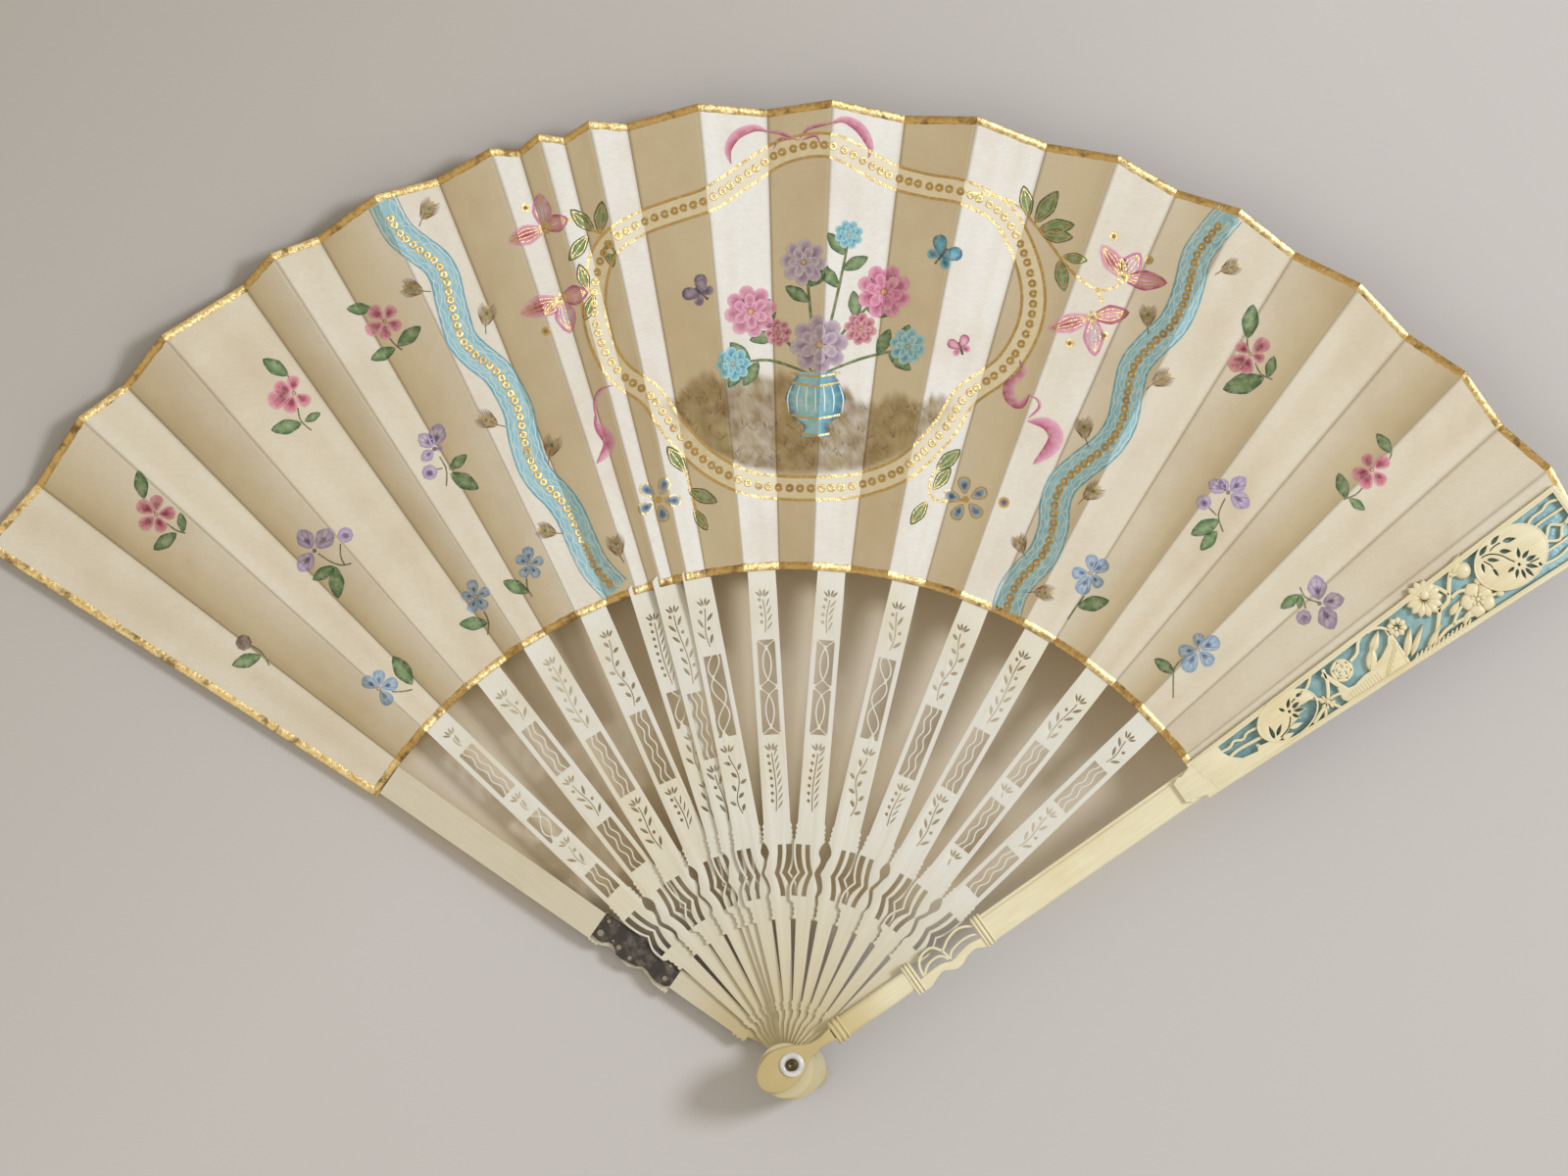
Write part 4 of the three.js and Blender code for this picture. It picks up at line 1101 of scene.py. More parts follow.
def addBinding(bm, wash, panel, path, outward):
    # gilt paper turned over an edge: its cross-section runs from the front round to the back
    wrap = [(-leaf["binding"], 0.0), (-leaf["binding"] + 0.15, 1.0), (-0.9, 1.0), (0.0, 0.9),
            (0.14, 0.0), (0.0, -0.9), (-leaf["bindingWrap"], -1.0)]
    half = fan["paper"] / 2 + leaf["bindingRise"]
    made = bmesh.ops.create_grid(bm, x_segments=len(path) - 1, y_segments=len(wrap) - 1,
                                 size=1)["verts"]
    for v in made:
        x, y = path[round((v.co.x + 1) / 2 * (len(path) - 1))]
        inset, rise = wrap[round((1 - v.co.y) / 2 * (len(wrap) - 1))]
        reach = inset * (1 + 0.14 * noise.noise(Vector((x * 0.6, y * 0.6, 5))))
        x, y = x + outward[0] * reach, y + outward[1] * reach
        crumple = 0.035 * noise.noise(Vector((x * 0.9, y * 0.9, 2)))
        v.co = (x, y, heightAt(panel, x, y) + half * rise + crumple)
        v[wash] = goldShadeTone(panel)
    for f in facesOf(made):
        f.material_index = 3
        f.smooth = True


def edgePath(panel, share, count=14):
    ends = foldPoint(panel, share), foldPoint(panel + 1, share)
    return [between(*ends, i / count) for i in range(count + 1)]


def sequinForm():
    bm = bmesh.new()
    radius = leaf["sequinRadius"]
    spun(bm, [(r * radius, z) for r, z in leaf["sequinProfile"]], 14)
    bmesh.ops.recalc_face_normals(bm, faces=bm.faces)
    return formOf(bm)


sequinShape = sequinForm()


def addSequins(bm, wash, panel):
    for x, y, _ in sequins:
        if not foldAngles[panel + 1] <= atan2(y, x) < foldAngles[panel]:
            continue
        if not fan["innerRadius"] + 2.4 < hypot(x, y) < fan["valleyRadius"] - 2.6:
            continue
        verts = []
        for px, py, pz in sequinShape["points"]:
            v = bm.verts.new((x + px, y + py, heightAt(panel, x + px, y + py) + pz
                              + leaf["overlap"] + 5 * leaf["layerRise"]))
            v[wash] = goldShadeTone(panel)
            verts.append(v)
        for corners in sequinShape["faces"]:
            f = bm.faces.new([verts[i] for i in corners])
            f.normal_update()
            f.material_index = 4
            f.smooth = True


def panelNames(panel):
    # the CAD node that a panel stands for, and the body that it rides on
    if panel in (0, panelCount - 1):
        end = "front" if panel else "back"
        return "leaf_end_panel_" + end, end + "_guard"
    number = (panel + 1) // 2
    if panel % 2:
        return f"leaf_free_panel_{number:02d}", f"leaf_fold_{number:02d}"
    return f"leaf_rib_panel_{number:02d}", f"stick_{number:02d}"


def squashFree(piece):
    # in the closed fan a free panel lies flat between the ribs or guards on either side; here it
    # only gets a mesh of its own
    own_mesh(piece)


def buildPanel(panel):
    bm = bmesh.new()
    wash = bm.verts.layers.float_color.new("wash")
    addPaper(bm, wash, panel)
    middle = (foldAngles[panel] + foldAngles[panel + 1]) / 2
    out = (cos(middle), sin(middle))
    addBinding(bm, wash, panel, edgePath(panel, 1), out)
    addBinding(bm, wash, panel, edgePath(panel, 0)[::-1], (-out[0], -out[1]))
    if panel == 0:
        path = [foldPoint(0, 1 - i / 60) for i in range(61)]
        addBinding(bm, wash, panel, path, (-sin(foldAngles[0]), cos(foldAngles[0])))
    addMarks(bm, wash, panel)
    addSequins(bm, wash, panel)
    bmesh.ops.scale(bm, vec=(mm, mm, mm), verts=bm.verts)
    replaced, body = panelNames(panel)
    piece = toMesh(bm, replaced.replace("_panel", "_pleat"),
                   [leafPaper, leafPaint, goldPaint, goldBinding, sequinGold])
    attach(piece, body)
    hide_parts(replaced)
    if panel % 2:
        squashFree(piece)
    return piece


pleats = [buildPanel(panel) for panel in range(panelCount)]
print("leaf made:", len(pleats), "pleats")


# Flat pierced pieces: an outline and its openings, filled, given thickness and soft edges

def flatCut(outlines, low, high, soften):
    # a filled flat curve becomes a bmesh between two heights
    curve = bpy.data.curves.new("cutting", "CURVE")
    curve.dimensions = "2D"
    curve.fill_mode = "BOTH"
    curve.extrude = (high - low) / 2 - soften
    curve.bevel_depth = soften
    curve.bevel_resolution = 1
    curve.offset = -soften
    for outline in outlines:
        spline = curve.splines.new("POLY")
        spline.points.add(len(outline) - 1)
        for point, (x, y) in zip(spline.points, outline):
            point.co = (x, y, 0, 1)
        spline.use_cyclic_u = True
    holder = bpy.data.objects.new("cutting", curve)
    scene.collection.objects.link(holder)
    graph = bpy.context.evaluated_depsgraph_get()
    mesh = bpy.data.meshes.new_from_object(holder.evaluated_get(graph))
    bm = bmesh.new()
    bm.from_mesh(mesh)
    bpy.data.objects.remove(holder)
    bpy.data.meshes.remove(mesh)
    bpy.data.curves.remove(curve)
    bmesh.ops.remove_doubles(bm, verts=bm.verts, dist=1e-4)
    bmesh.ops.translate(bm, verts=bm.verts, vec=(0, 0, (low + high) / 2))
    return bm


def softEdges(piece, limit=36):
    # rounded surfaces shade smoothly and real edges stay crisp
    mesh = piece.data
    mesh.polygons.foreach_set("use_smooth", [True] * len(mesh.polygons))
    mesh.set_sharp_from_angle(angle=radians(limit))


def smoothPoints(points, detail=0.8):
    return [place[:2] for place in evenly(points, detail)]


def leafShape(foot, length, width, heading, steps, swellAt):
    # a pointed leaf from its foot; swellAt gives the share of its half width
    points = []
    for side in (1, -1):
        for i in range(steps):
            share = i / steps if side > 0 else 1 - i / steps
            points.append(onward(foot, heading, length * share,
                                 side * width / 2 * swellAt(share)))
    return points


def leafCut(x, y, length, width, heading, steps=4):
    return leafShape((x, y), length, width, heading, steps, lambda s: sin(pi * s) ** 0.8)


def ellipse(x, y, length, width, heading=0, steps=20):
    turns = [2 * pi * i / steps for i in range(steps)]
    return [onward((x, y), heading, length / 2 * cos(turn), width / 2 * sin(turn))
            for turn in turns]


def openRuns(start, end, lower, upper, steps, least=0.16):
    # openings wherever there is room between two lines that run along the blade
    runs = [[]]
    for i in range(steps + 1):
        low, high = lower(i / steps), upper(i / steps)
        if high - low > least:
            runs[-1].append((start + (end - start) * i / steps, low, high))
        elif runs[-1]:
            runs.append([])
    return [[(x, low) for x, low, high in run] + [(x, high) for x, low, high in reversed(run)]
            for run in runs if len(run) > 2]


cut = {"windowHalf": 2.5, "bar": 0.4, "stem": 0.3, "reach": 2.85}


def windowCuts(start, end, first, second):
    # a window whose openings are parted by two thin lines
    half, bar = cut["windowHalf"], cut["bar"] / 2
    lines = [lambda s: -half - bar, lambda s: min(first(s), second(s)),
             lambda s: max(first(s), second(s)), lambda s: half + bar]
    steps = round((end - start) * 2)
    openings = []
    for lower, upper in zip(lines, lines[1:]):
        openings += openRuns(start, end, lambda s: lower(s) + bar, lambda s: upper(s) - bar, steps)
    return openings


def waveCuts(start, end, lean):
    cycles = (end - start) / 5.6
    return windowCuts(start, end,
                      lambda s: -0.85 + 0.42 * sin(2 * pi * cycles * s + lean),
                      lambda s: 0.85 + 0.42 * sin(2 * pi * cycles * s + lean + 0.8))


def ogeeCuts(start, end, lean):
    # long lenses joined by diamonds that touch the sides
    half = cut["windowHalf"]
    places = [0, 0.085, 0.415, 0.5, 0.585, 0.915, 1]
    heights = [half, 0, 0, half, 0, 0, half]

    def line(share):
        k = min(5, sum(share >= p for p in places[1:]))
        t = (share - places[k]) / (places[k + 1] - places[k])
        if heights[k] == heights[k + 1]:
            return 1.15 * sin(pi * t) ** 0.75
        rising = t if heights[k] < heights[k + 1] else 1 - t
        return half * rising ** 1.15
    return windowCuts(start, end, line, lambda s: -line(s))


def arcCuts(start, end, lean):
    # two lines that swing from side to side, one after the other
    cycles = max(1, round((end - start) / 12))
    return windowCuts(start, end,
                      lambda s: lean * 1.75 * cos(2 * pi * cycles * s * 0.75 + 0.5),
                      lambda s: lean * 1.75 * cos(2 * pi * cycles * s * 0.75 - 1.6))


sprigKinds = {
    "sprig": {"step": 1.6, "length": 3.0, "width": 0.84, "heading": 0.56, "sway": 0.5,
              "turns": 1.0, "berries": 3},
    "feather": {"step": 1.05, "length": 2.9, "width": 0.42, "heading": 0.5, "sway": 0.35,
                "turns": 0.8, "berries": 2},
    "vine": {"step": 1.9, "length": 2.2, "width": 1.0, "heading": 0.75, "sway": 0.85,
             "turns": 1.5, "berries": 4},
}


def sprigCuts(start, end, lean, kind):
    # a swaying stem with leaves on both sides, a few berries, and a flower at its end
    look = sprigKinds[kind]
    length = end - start
    half = cut["stem"] / 2

    def stemAt(share):
        return lean * look["sway"] * sin(2 * pi * look["turns"] * share)

    def lineAt(share):
        return stemAt(share * (length - 3.7) / length)

    openings = openRuns(start + 0.5, end - 3.2, lambda s: lineAt(s) - half,
                        lambda s: lineAt(s) + half, 14)
    for i in range(int((length - 4.2) / look["step"])):
        share = (0.7 + i * look["step"]) / length
        side = 1 if i % 2 else -1
        x = start + share * length + 0.5
        y = stemAt(share) + side * (half + 0.3)
        slope = atan2(stemAt(share + 0.01) - stemAt(share - 0.01), 0.02 * length)
        heading = slope + side * look["heading"]
        room = (cut["reach"] - abs(y)) / max(0.2, abs(sin(heading)))
        if i % look["berries"] == look["berries"] - 1 and kind != "vine":
            openings.append(leafCut(x + 0.7, y + side * 0.35, 1.2, 0.95, heading, 3))
        else:
            openings.append(leafCut(x, y, min(look["length"], room), look["width"], heading))
    tip = stemAt((length - 3.2) / length)
    for heading in (-0.75, -0.27, 0.27, 0.75):
        foot = (end - 2.9 + 0.55 * cos(heading), tip + 0.55 * 1.25 * sin(heading))
        openings.append(leafCut(*foot, 2.2, 0.62, heading))
    return openings


stick = {
    "headRadius": 7.7, "headOffset": 2.5, "neckHalf": 1.9, "soften": 0.07, "twistStart": 124.0,
    "thinStart": 130.0, "thinEnd": 137.0, "thin": 0.5,
    "bore": 1.5, "bend": 53.3,
    "lower": [(11.6, 1.5), (13.4, 0.95), (15.0, 0.95), (15.4, 1.5), (16.2, 1.25), (17.0, 1.6),
              (17.8, 1.2), (40.3, 2.15), (40.4, 3.1), (41.2, 3.15), (41.6, 2.75), (42.5, 3.1),
              (43.0, 2.8), (44.0, 3.3), (44.6, 3.1)],
    "upper": [(62.4, 4.35), (63.0, 3.95), (63.7, 4.25), (64.2, 3.85), (65.0, 4.25),
              (65.6, 3.8), (66.4, 4.2), (67.2, 3.75), (137.7, 3.95), (139.9, 3.95), (140.5, 3.3),
              (141.8, 1.3), (144.0, 1.1), (261.5, 1.1), (262.0, 0.6)],
    "places": [45.5, 46.8, 48.4, 50.0, 51.6, 52.6, 53.3, 54.1, 55.2, 57.0, 59.2, 61.2],
    "inner": [0.5, 0.45, 0.4, 0.15, -0.28, -0.62, -0.88, -0.58, -0.22, 0.12, 0.38, 0.45],
    "outer": [2.95, 3.05, 3.2, 3.0, 2.3, 1.72, 1.28, 1.7, 2.15, 2.6, 2.9, 2.95],
    "innerWidth": 1.3, "outerWidth": 1.6, "arch": 0.62,
    "narrow": [3.2, 2.7, 3.15, 3.0, 2.5, 2.15, 2.0, 2.2, 2.85, 3.5, 2.75, 3.4],
    "wide": [3.2, 3.6, 2.95, 3.1, 3.6, 4.1, 4.4, 4.2, 3.75, 3.4, 2.7, 3.4],
}
# Where each kind of opening lies along the blade, in families shared by the sticks
families = {
    "middle": [("feather", 70, 90), ("ogee", 92, 118.5), ("feather", 120, 133)],
    "bowed": [("vine", 70.5, 91), ("arc", 93, 116), ("sprig", 118, 132.5)],
    "slender": [("sprig", 71, 83), ("sprig", 85, 97), ("arc", 98.5, 109), ("feather", 110.5, 132)],
    "waved": [("feather", 71, 84.5), ("wave", 86, 107), ("vine", 108.5, 132)],
    "long": [("sprig", 69.5, 86.5), ("wave", 88, 107), ("sprig", 109, 132.5)],
    "double": [("wave", 69.5, 85.5), ("sprig", 87, 102), ("wave", 103.5, 119.5),
               ("sprig", 121, 132.5)],
    "outer": [("wave", 69, 78), ("sprig", 79.5, 90), ("arc", 91, 100.5), ("sprig", 101.5, 108.5),
              ("wave", 109.5, 126.5), ("sprig", 127.5, 134.5)],
    "split": [("sprig", 70, 75.5), ("wave", 76.5, 93), ("sprig", 94, 98.8), ("wave", 99.8, 113),
              ("sprig", 114.5, 131)],
}
familyOf = {1: "outer", 2: "double", 3: "long", 4: "waved", 5: "slender", 6: "long", 7: "bowed",
            8: "middle", 9: "middle", 10: "bowed", 11: "waved", 12: "long", 13: "split",
            14: "double"}
cutters = {"wave": waveCuts, "ogee": ogeeCuts, "arc": arcCuts}


def kinked(line):
    # smooth on both sides of its sharp bend
    bend = line.index(next(p for p in line if p[0] == stick["bend"]))
    return smoothPoints(line[:bend + 1]) + smoothPoints(line[bend:])[1:]


def bandCuts(side):
    # two kinked slots; side is +1 where the stick's partner is on the left
    openings = []
    for lane in ("inner", "outer"):
        half = stick[lane + "Width"] / 2
        line = kinked(list(zip(stick["places"], stick[lane]))[1:])
        openings.append([(x, side * (y - half)) for x, y in line] +
                        [(x, side * (y + half)) for x, y in reversed(line)])
    return openings


def stickOutline(number):
    side = 1 if number % 2 else -1
    reach = stick["outerWidth"] / 2 + stick["arch"]
    partner = kinked([(x, y + reach) for x, y in zip(stick["places"], stick["outer"])])
    free = kinked(list(zip(stick["places"], stick["narrow" if side > 0 else "wide"])))
    left, right = (partner, free) if side > 0 else (free, partner)
    upper = stick["lower"] + left + stick["upper"]
    lower = [(x, -y) for x, y in stick["lower"] + right + stick["upper"]]
    radius, offset = stick["headRadius"], stick["headOffset"]
    begin = atan2(stick["neckHalf"], sqrt(radius ** 2 - stick["neckHalf"] ** 2))
    head = [(radius * cos(a) - offset, radius * sin(a)) for a in
            [begin + i / 27 * 2 * (pi - begin) for i in range(28)]]
    return head + lower + upper[::-1]


def leanBlade(bm):
    # the blade thins into its rib and leans over with the leaf
    for place in range(124, 142, 2):
        cutOff(bm, (place, 0, 0), (1, 0, 0), False)
    for v in bm.verts:
        thin = 1 - (1 - stick["thin"]) * smooth(v.co.x, stick["thinStart"], stick["thinEnd"])
        turn = fan["tilt"] * smooth(v.co.x, stick["twistStart"], stick["thinEnd"])
        y, z = v.co.y, v.co.z * thin
        v.co.y, v.co.z = y * cos(turn) - z * sin(turn), y * sin(turn) + z * cos(turn)


def markOwnPlace(bm, shift):
    # the piece's own lengthwise place, which its grain and stains follow
    own = bm.verts.layers.float_vector.new("ownPlace")
    for v in bm.verts:
        v[own] = (v.co + Vector(shift)) * mm


def placeBlade(bm, angle, level):
    markOwnPlace(bm, (0, level, level * 3))
    bmesh.ops.rotate(bm, verts=bm.verts, cent=(0, 0, 0), matrix=Matrix.Rotation(angle, 3, "Z"))
    bmesh.ops.translate(bm, verts=bm.verts, vec=(0, 0, level))
    bmesh.ops.scale(bm, vec=(mm, mm, mm), verts=bm.verts)


def buildStick(number):
    lean = 1 if number % 2 else -1
    openings = [ellipse(0, 0, 2 * stick["bore"], 2 * stick["bore"], 0, 16)] + bandCuts(lean)
    for kind, start, end in families[familyOf[number]]:
        openings += sprigCuts(start, end, lean, kind) if kind in sprigKinds else \
            cutters[kind](start, end, lean)
    half = fan["stickThickness"] / 2
    bm = flatCut([stickOutline(number)] + openings, -half, half, stick["soften"])
    leanBlade(bm)
    placeBlade(bm, stickAngle(number), levels[number])
    piece = toMesh(bm, f"pierced_stick_{number:02d}", [stickIvory])
    softEdges(piece)
    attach(piece, f"stick_{number:02d}")
    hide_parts(f"stick_{number:02d}")
    return piece


sticks = [buildStick(number) for number in range(1, stickCount + 1)]
print("sticks made:", len(sticks))


# Guards: bars with ringed collars, a pierced scalloped section and a carved panel over foil

def wideAt(values, share):
    return values if not isinstance(values, list) else \
        values[min(len(values) - 1, round(share * (len(values) - 1)))]


def skin(bm, rings):
    # faces between closed rings of points
    around = len(rings[0])
    for first, second in zip(rings, rings[1:]):
        for k in range(around):
            n = (k + 1) % around
            bm.faces.new((first[k], first[n], second[n], second[k]))


def barAlong(bm, path, widths, lows, highs, roundness, turns=3):
    # a closed bar along a line: flat below, with rounded upper edges
    rings = []
    last = len(path) - 1
    for i, place in enumerate(path):
        heading = headingOf(path[max(0, i - 1)], path[min(last, i + 1)])
        width, low, high = (wideAt(values, i / last) for values in (widths, lows, highs))
        half = width / 2
        soft = min(roundness, half * 0.9, (high - low) * 0.9)
        section = [(-half, low)]
        for k in range(turns + 1):
            turn = pi / 2 * k / turns
            section.append((-half + soft - soft * cos(turn), high - soft + soft * sin(turn)))
        section += [(-side, height) for side, height in reversed(section)]
        rings.append([bm.verts.new((*onward(place, heading, 0, side), height))
                      for side, height in section])
    skin(bm, rings)
    bm.faces.new(rings[0][::-1])
    bm.faces.new(rings[-1])


def domeOver(bm, outline, edge, crown):
    # a closed swelling over an outline, steep at its edge and nearly flat on top
    middle = tuple(sum(values) / len(outline) for values in zip(*outline))
    steps = [(1, carved["panelLow"]), (1, edge)]
    steps += [(share, edge + (crown - edge) * sqrt(1 - share ** 2)) for share in carved["dome"]]
    rings = [[bm.verts.new((*between(middle, place, share), height)) for place in outline]
             for share, height in steps]
    skin(bm, rings)
    top = bm.verts.new((*middle, crown))
    for pair in zip(rings[-1], rings[-1][1:] + rings[-1][:1]):
        bm.faces.new((*pair, top))
    bm.faces.new(rings[0][::-1])


def leafOutline(start, end, width, steps=7, fullness=0.75):
    # a pointed leaf between two points
    return leafShape(start, pathLength(start, end), width, headingOf(start, end), steps,
                     lambda s: sin(pi * s ** fullness))


def slitAlong(points, width):
    line = evenly(points, 0.8)
    return beside(line, width / 2) + beside(line, -width / 2)[::-1]


carved = {
    "panelLow": 2.538, "panelHigh": 4.938, "thickness": 3.338, "foilLow": 2.238, "foil": 0.2,
    "dome": (0.9, 0.7, 0.42), "rose": ((0.78, 6), (0.52, 5), (0.28, 3)),
    "rings": ((0.14, 0.28), (0.5, 0.4), (0.86, 0.28)), "rootHalf": 5.65, "tipHalf": 10.7,
    "start": 137.7, "end": 266.6, "border": 1.5,
    "head": [(15.0, 2.75), (11.1, 2.0), (8.0, 2.05), (5.6, 3.0), (3.1, 4.5), (0.5, 5.5),
             (-1.6, 6.15), (-3.6, 6.3), (-5.7, 5.8), (-8.0, 4.8), (-9.9, 3.1), (-10.7, 1.4),
             (-10.8, -0.5), (-9.75, -2.5), (-8.1, -3.9), (-6.1, -4.7), (-3.2, -4.95),
             (-0.6, -4.5), (1.8, -3.6), (3.5, -2.5), (4.9, -1.6), (7.3, -1.15), (9.4, -0.8),
             (11.6, -0.95), (13.6, -1.35), (15.0, -1.7)],
    "lowerBar": (14.2, 20, 26, 32, 40.1), "lowerWidth": 6.2, "lowerMiddle": 0.45,
    "upperBar": (66.4, 85, 103, 122, 137.7), "upperLows": (0, 0, 0, 0, 0.55),
    "upperWidth": 8.3, "upperTipWidth": 9.0, "mendedLow": 0.9,
    "upperSteps": [(-0.45, 0.9, 0, 0, 0.7, 4), (0.25, 0.5, 0.05, 0.75, 0.2, 2)],
    "tab": [(131.7, 3.1), (133.7, 4.1), (134.7, 3.6)],
    "step": [(138.9, 5.2), (138.9, 4.3), (139.4, 3.0), (139.2, 1.2), (139.9, -0.6),
             (140.8, -1.6), (140.9, -3.6), (141.3, -5.1), (142.2, -5.4)],
    "collars": [(14.4, 18.4, 6.6, 0.45), (40.0, 42.9, 9.0, 0.1), (63.5, 66.6, 9.0, 0.1)],
    "stripInner": [(42.5, -1.1), (45.0, -0.8), (49.3, -0.6), (51.2, -1.0), (52.8, -1.7),
                   (54.2, -1.6), (55.8, -1.2), (59.3, -0.6), (62.8, -1.0), (64.4, -1.1)],
    "stripOuter": [(64.4, -4.4), (62.5, -3.9), (60.5, -2.9), (58.3, -3.0), (56.6, -3.5),
                   (55.1, -4.3), (53.0, -4.5), (51.4, -3.8), (49.3, -2.8), (46.6, -3.6),
                   (44.6, -4.4), (42.5, -4.5)],
    "arches": [[(44.2, -0.9), (44.6, 1.6), (46.0, 3.7), (48.3, 4.6), (50.7, 4.3), (52.4, 2.0)],
               [(52.4, 2.0), (53.6, 2.6), (55.2, 3.6), (58.2, 4.5), (60.9, 4.2), (63.8, 2.4)],
               [(44.7, -0.7), (46.8, 1.0), (49.4, 1.5), (51.5, 0.9), (52.8, -1.4)],
               [(52.8, -1.4), (54.5, 0.4), (58.0, 1.2), (61.3, 1.0), (63.8, -0.2)],
               [(52.4, 2.1), (52.8, 0.2), (52.8, -1.5)]],
    "arch": 0.72,
    "mendOutline": [(66.3, 4.6), (66.3, -2.9), (64.0, -3.2), (62.6, -3.0), (61.4, -1.9),
                    (60.1, -1.8), (58.6, -2.6), (57.6, -3.6), (55.9, -3.8), (53.6, -3.5),
                    (51.2, -3.1), (49.5, -2.1), (47.7, -2.3), (46.2, -3.0), (44.0, -3.4),
                    (41.1, -3.0), (40.2, -1.8), (40.2, 4.4), (53.0, 4.5)],
    "pins": [(64.6, -1.1, 0.95), (60.4, -0.9, 0.35), (58.1, -1.5, 0.7), (53.9, -2.2, 0.6),
             (42.6, -1.2, 0.7), (64.5, 2.9, 0.55), (43.2, 2.6, 0.5)],
}


def edgeHalf(x):
    share = (x - carved["start"]) / (carved["end"] - carved["start"])
    return carved["rootHalf"] + share * (carved["tipHalf"] - carved["rootHalf"])


def fieldEdge(x, side):
    return (x, side * (edgeHalf(x) - carved["border"]))


# Openings traced from the photo, in millimetres along the guard and across it
field = [(147.8, 4.6), fieldEdge(155, 1), fieldEdge(200, 1), fieldEdge(carved["end"] - 1.9, 1),
         fieldEdge(carved["end"] - 1.9, -1), fieldEdge(210, -1), fieldEdge(165, -1),
         (164.0, -4.6), (161.5, -2.6), (157.9, -1.9), (156.9, -1.7), (156.3, -2.8),
         (153.8, -2.3), (151.7, -1.9), (149.2, 0.2), (148.0, 2.4)]
ovals = [
    {"middle": (168.7, 0.6), "length": 19.0, "width": 12.6,
     "leaves": [((169.8, 2.3), (171.7, 4.3), 1.0), ((170.9, 1.6), (173.5, 1.9), 1.1),
                ((170.8, 0.7), (173.6, -0.5), 1.0), ((169.9, 0.2), (171.1, -1.7), 0.9),
                ((168.7, 2.1), (167.7, 3.6), 0.85), ((173.5, 3.5), (176.0, 3.9), 0.95),
                ((167.5, -2.75), (170.5, -3.3), 0.9), ((162.0, -2.6), (162.7, 1.2), 1.2),
                ((163.0, -2.3), (165.9, -0.3), 1.05), ((164.2, -4.0), (166.9, -4.3), 0.95)],
     "stems": [[(169.1, -0.1), (168.0, -1.4), (166.4, -2.6), (163.6, -3.3)],
               [(171.6, 3.0), (173.0, 3.3)]],
     "heart": (169.7, 1.25, 0.85)},
    {"middle": (244.9, 1.0), "length": 22.5, "width": 17.0,
     "leaves": [((237.8, 6.4), (241.3, 7.6), 1.3), ((242.2, 7.1), (245.6, 8.0), 1.2),
                ((245.3, 6.0), (249.0, 4.6), 1.35), ((243.0, 4.2), (245.9, 2.4), 1.25),
                ((238.9, 4.3), (241.7, 2.1), 1.1), ((237.2, 4.3), (236.2, 1.6), 0.9),
                ((238.9, 0.9), (238.9, -1.4), 0.9),
                ((246.5, -0.4), (247.9, 2.2), 1.1), ((247.2, -1.0), (250.0, -0.2), 1.1),
                ((247.6, -2.1), (250.9, -2.5), 1.25), ((246.9, -3.1), (249.6, -5.6), 1.15),
                ((246.3, -3.7), (247.0, -7.0), 1.05), ((245.3, -3.4), (244.7, -6.3), 1.0),
                ((244.5, -2.7), (242.6, -4.6), 1.0), ((244.0, -1.8), (241.6, -1.9), 0.9),
                ((250.2, -4.6), (250.7, -6.0), 0.8)],
     "stems": [[(237.9, 5.6), (240.2, 5.2), (242.6, 3.3), (244.1, 0.7), (244.9, -0.6)],
               [(240.9, 5.8), (242.5, 6.2), (244.6, 6.1)],
               [(237.9, 4.4), (238.9, 2.4), (238.9, 1.4)],
               [(248.6, -3.2), (249.8, -3.5), (251.0, -3.6)]],
     "heart": (245.5, -1.9, 0.9)},
]


def addOval(bm, oval):
    x, y = oval["middle"]
    outline = ellipse(x, y, oval["length"], oval["width"], 0, 56)
    holes = [leafOutline(start, end, width) for start, end, width in oval["leaves"]]
    holes += [slitAlong(points, 0.3) for points in oval["stems"]]
    hx, hy, size = oval["heart"]
    holes.append(ellipse(hx, hy, size, size, 0, 10))
    mergeInto(bm, flatCut([outline] + holes, carved["panelLow"], 5.0, 0.22))
    rim = ellipse(x, y, oval["length"] - 0.5, oval["width"] - 0.5, 0, 56)
    rim.append(rim[0])
    barAlong(bm, rim, 0.5, 4.4, 5.16, 0.22, 2)


def addPetals(bm, x, y, petals, length, width, turn, high, inner=0.18):
    # domed petals around a middle
    for i in range(petals):
        heading = turn + 2 * pi * i / petals
        foot, tip = (onward((x, y), heading, reach) for reach in (inner * length, length))
        domeOver(bm, leafOutline(foot, tip, width, 6, 1.35), high - 0.75, high - 0.12 * (i % 2))


def addHeart(bm, x, y, size, high):
    domeOver(bm, ellipse(x, y, size, size, 0, 14), high - size * 0.3, high)


def addRose(bm, x, y, size, high):
    addHeart(bm, x, y, 2 * size, high - 0.5)
    for ring, (reach, count) in enumerate(carved["rose"]):
        for i in range(count):
            heading = 2 * pi * (i + 0.5 * ring) / count
            outline = ellipse(*onward((x, y), heading, size * reach), size * 0.3,
                              size * (0.95 - 0.18 * ring), heading, 12)
            domeOver(bm, outline, high - 0.65 + 0.18 * ring, high - 0.3 + 0.2 * ring)
    addHeart(bm, x, y, size * 0.45, high + 0.1)


def addLeaf(bm, start, end, width, high):
    # a carved leaf with a raised middle vein
    domeOver(bm, leafOutline(start, end, width, 8), high - 0.55, high)
    vein = [between(start, end, share) for share in (0.06, 0.3, 0.6, 0.92)]
    barAlong(bm, vein, [0.3, 0.26, 0.2, 0.1], high - 0.7, high + 0.08, 0.1, 1)


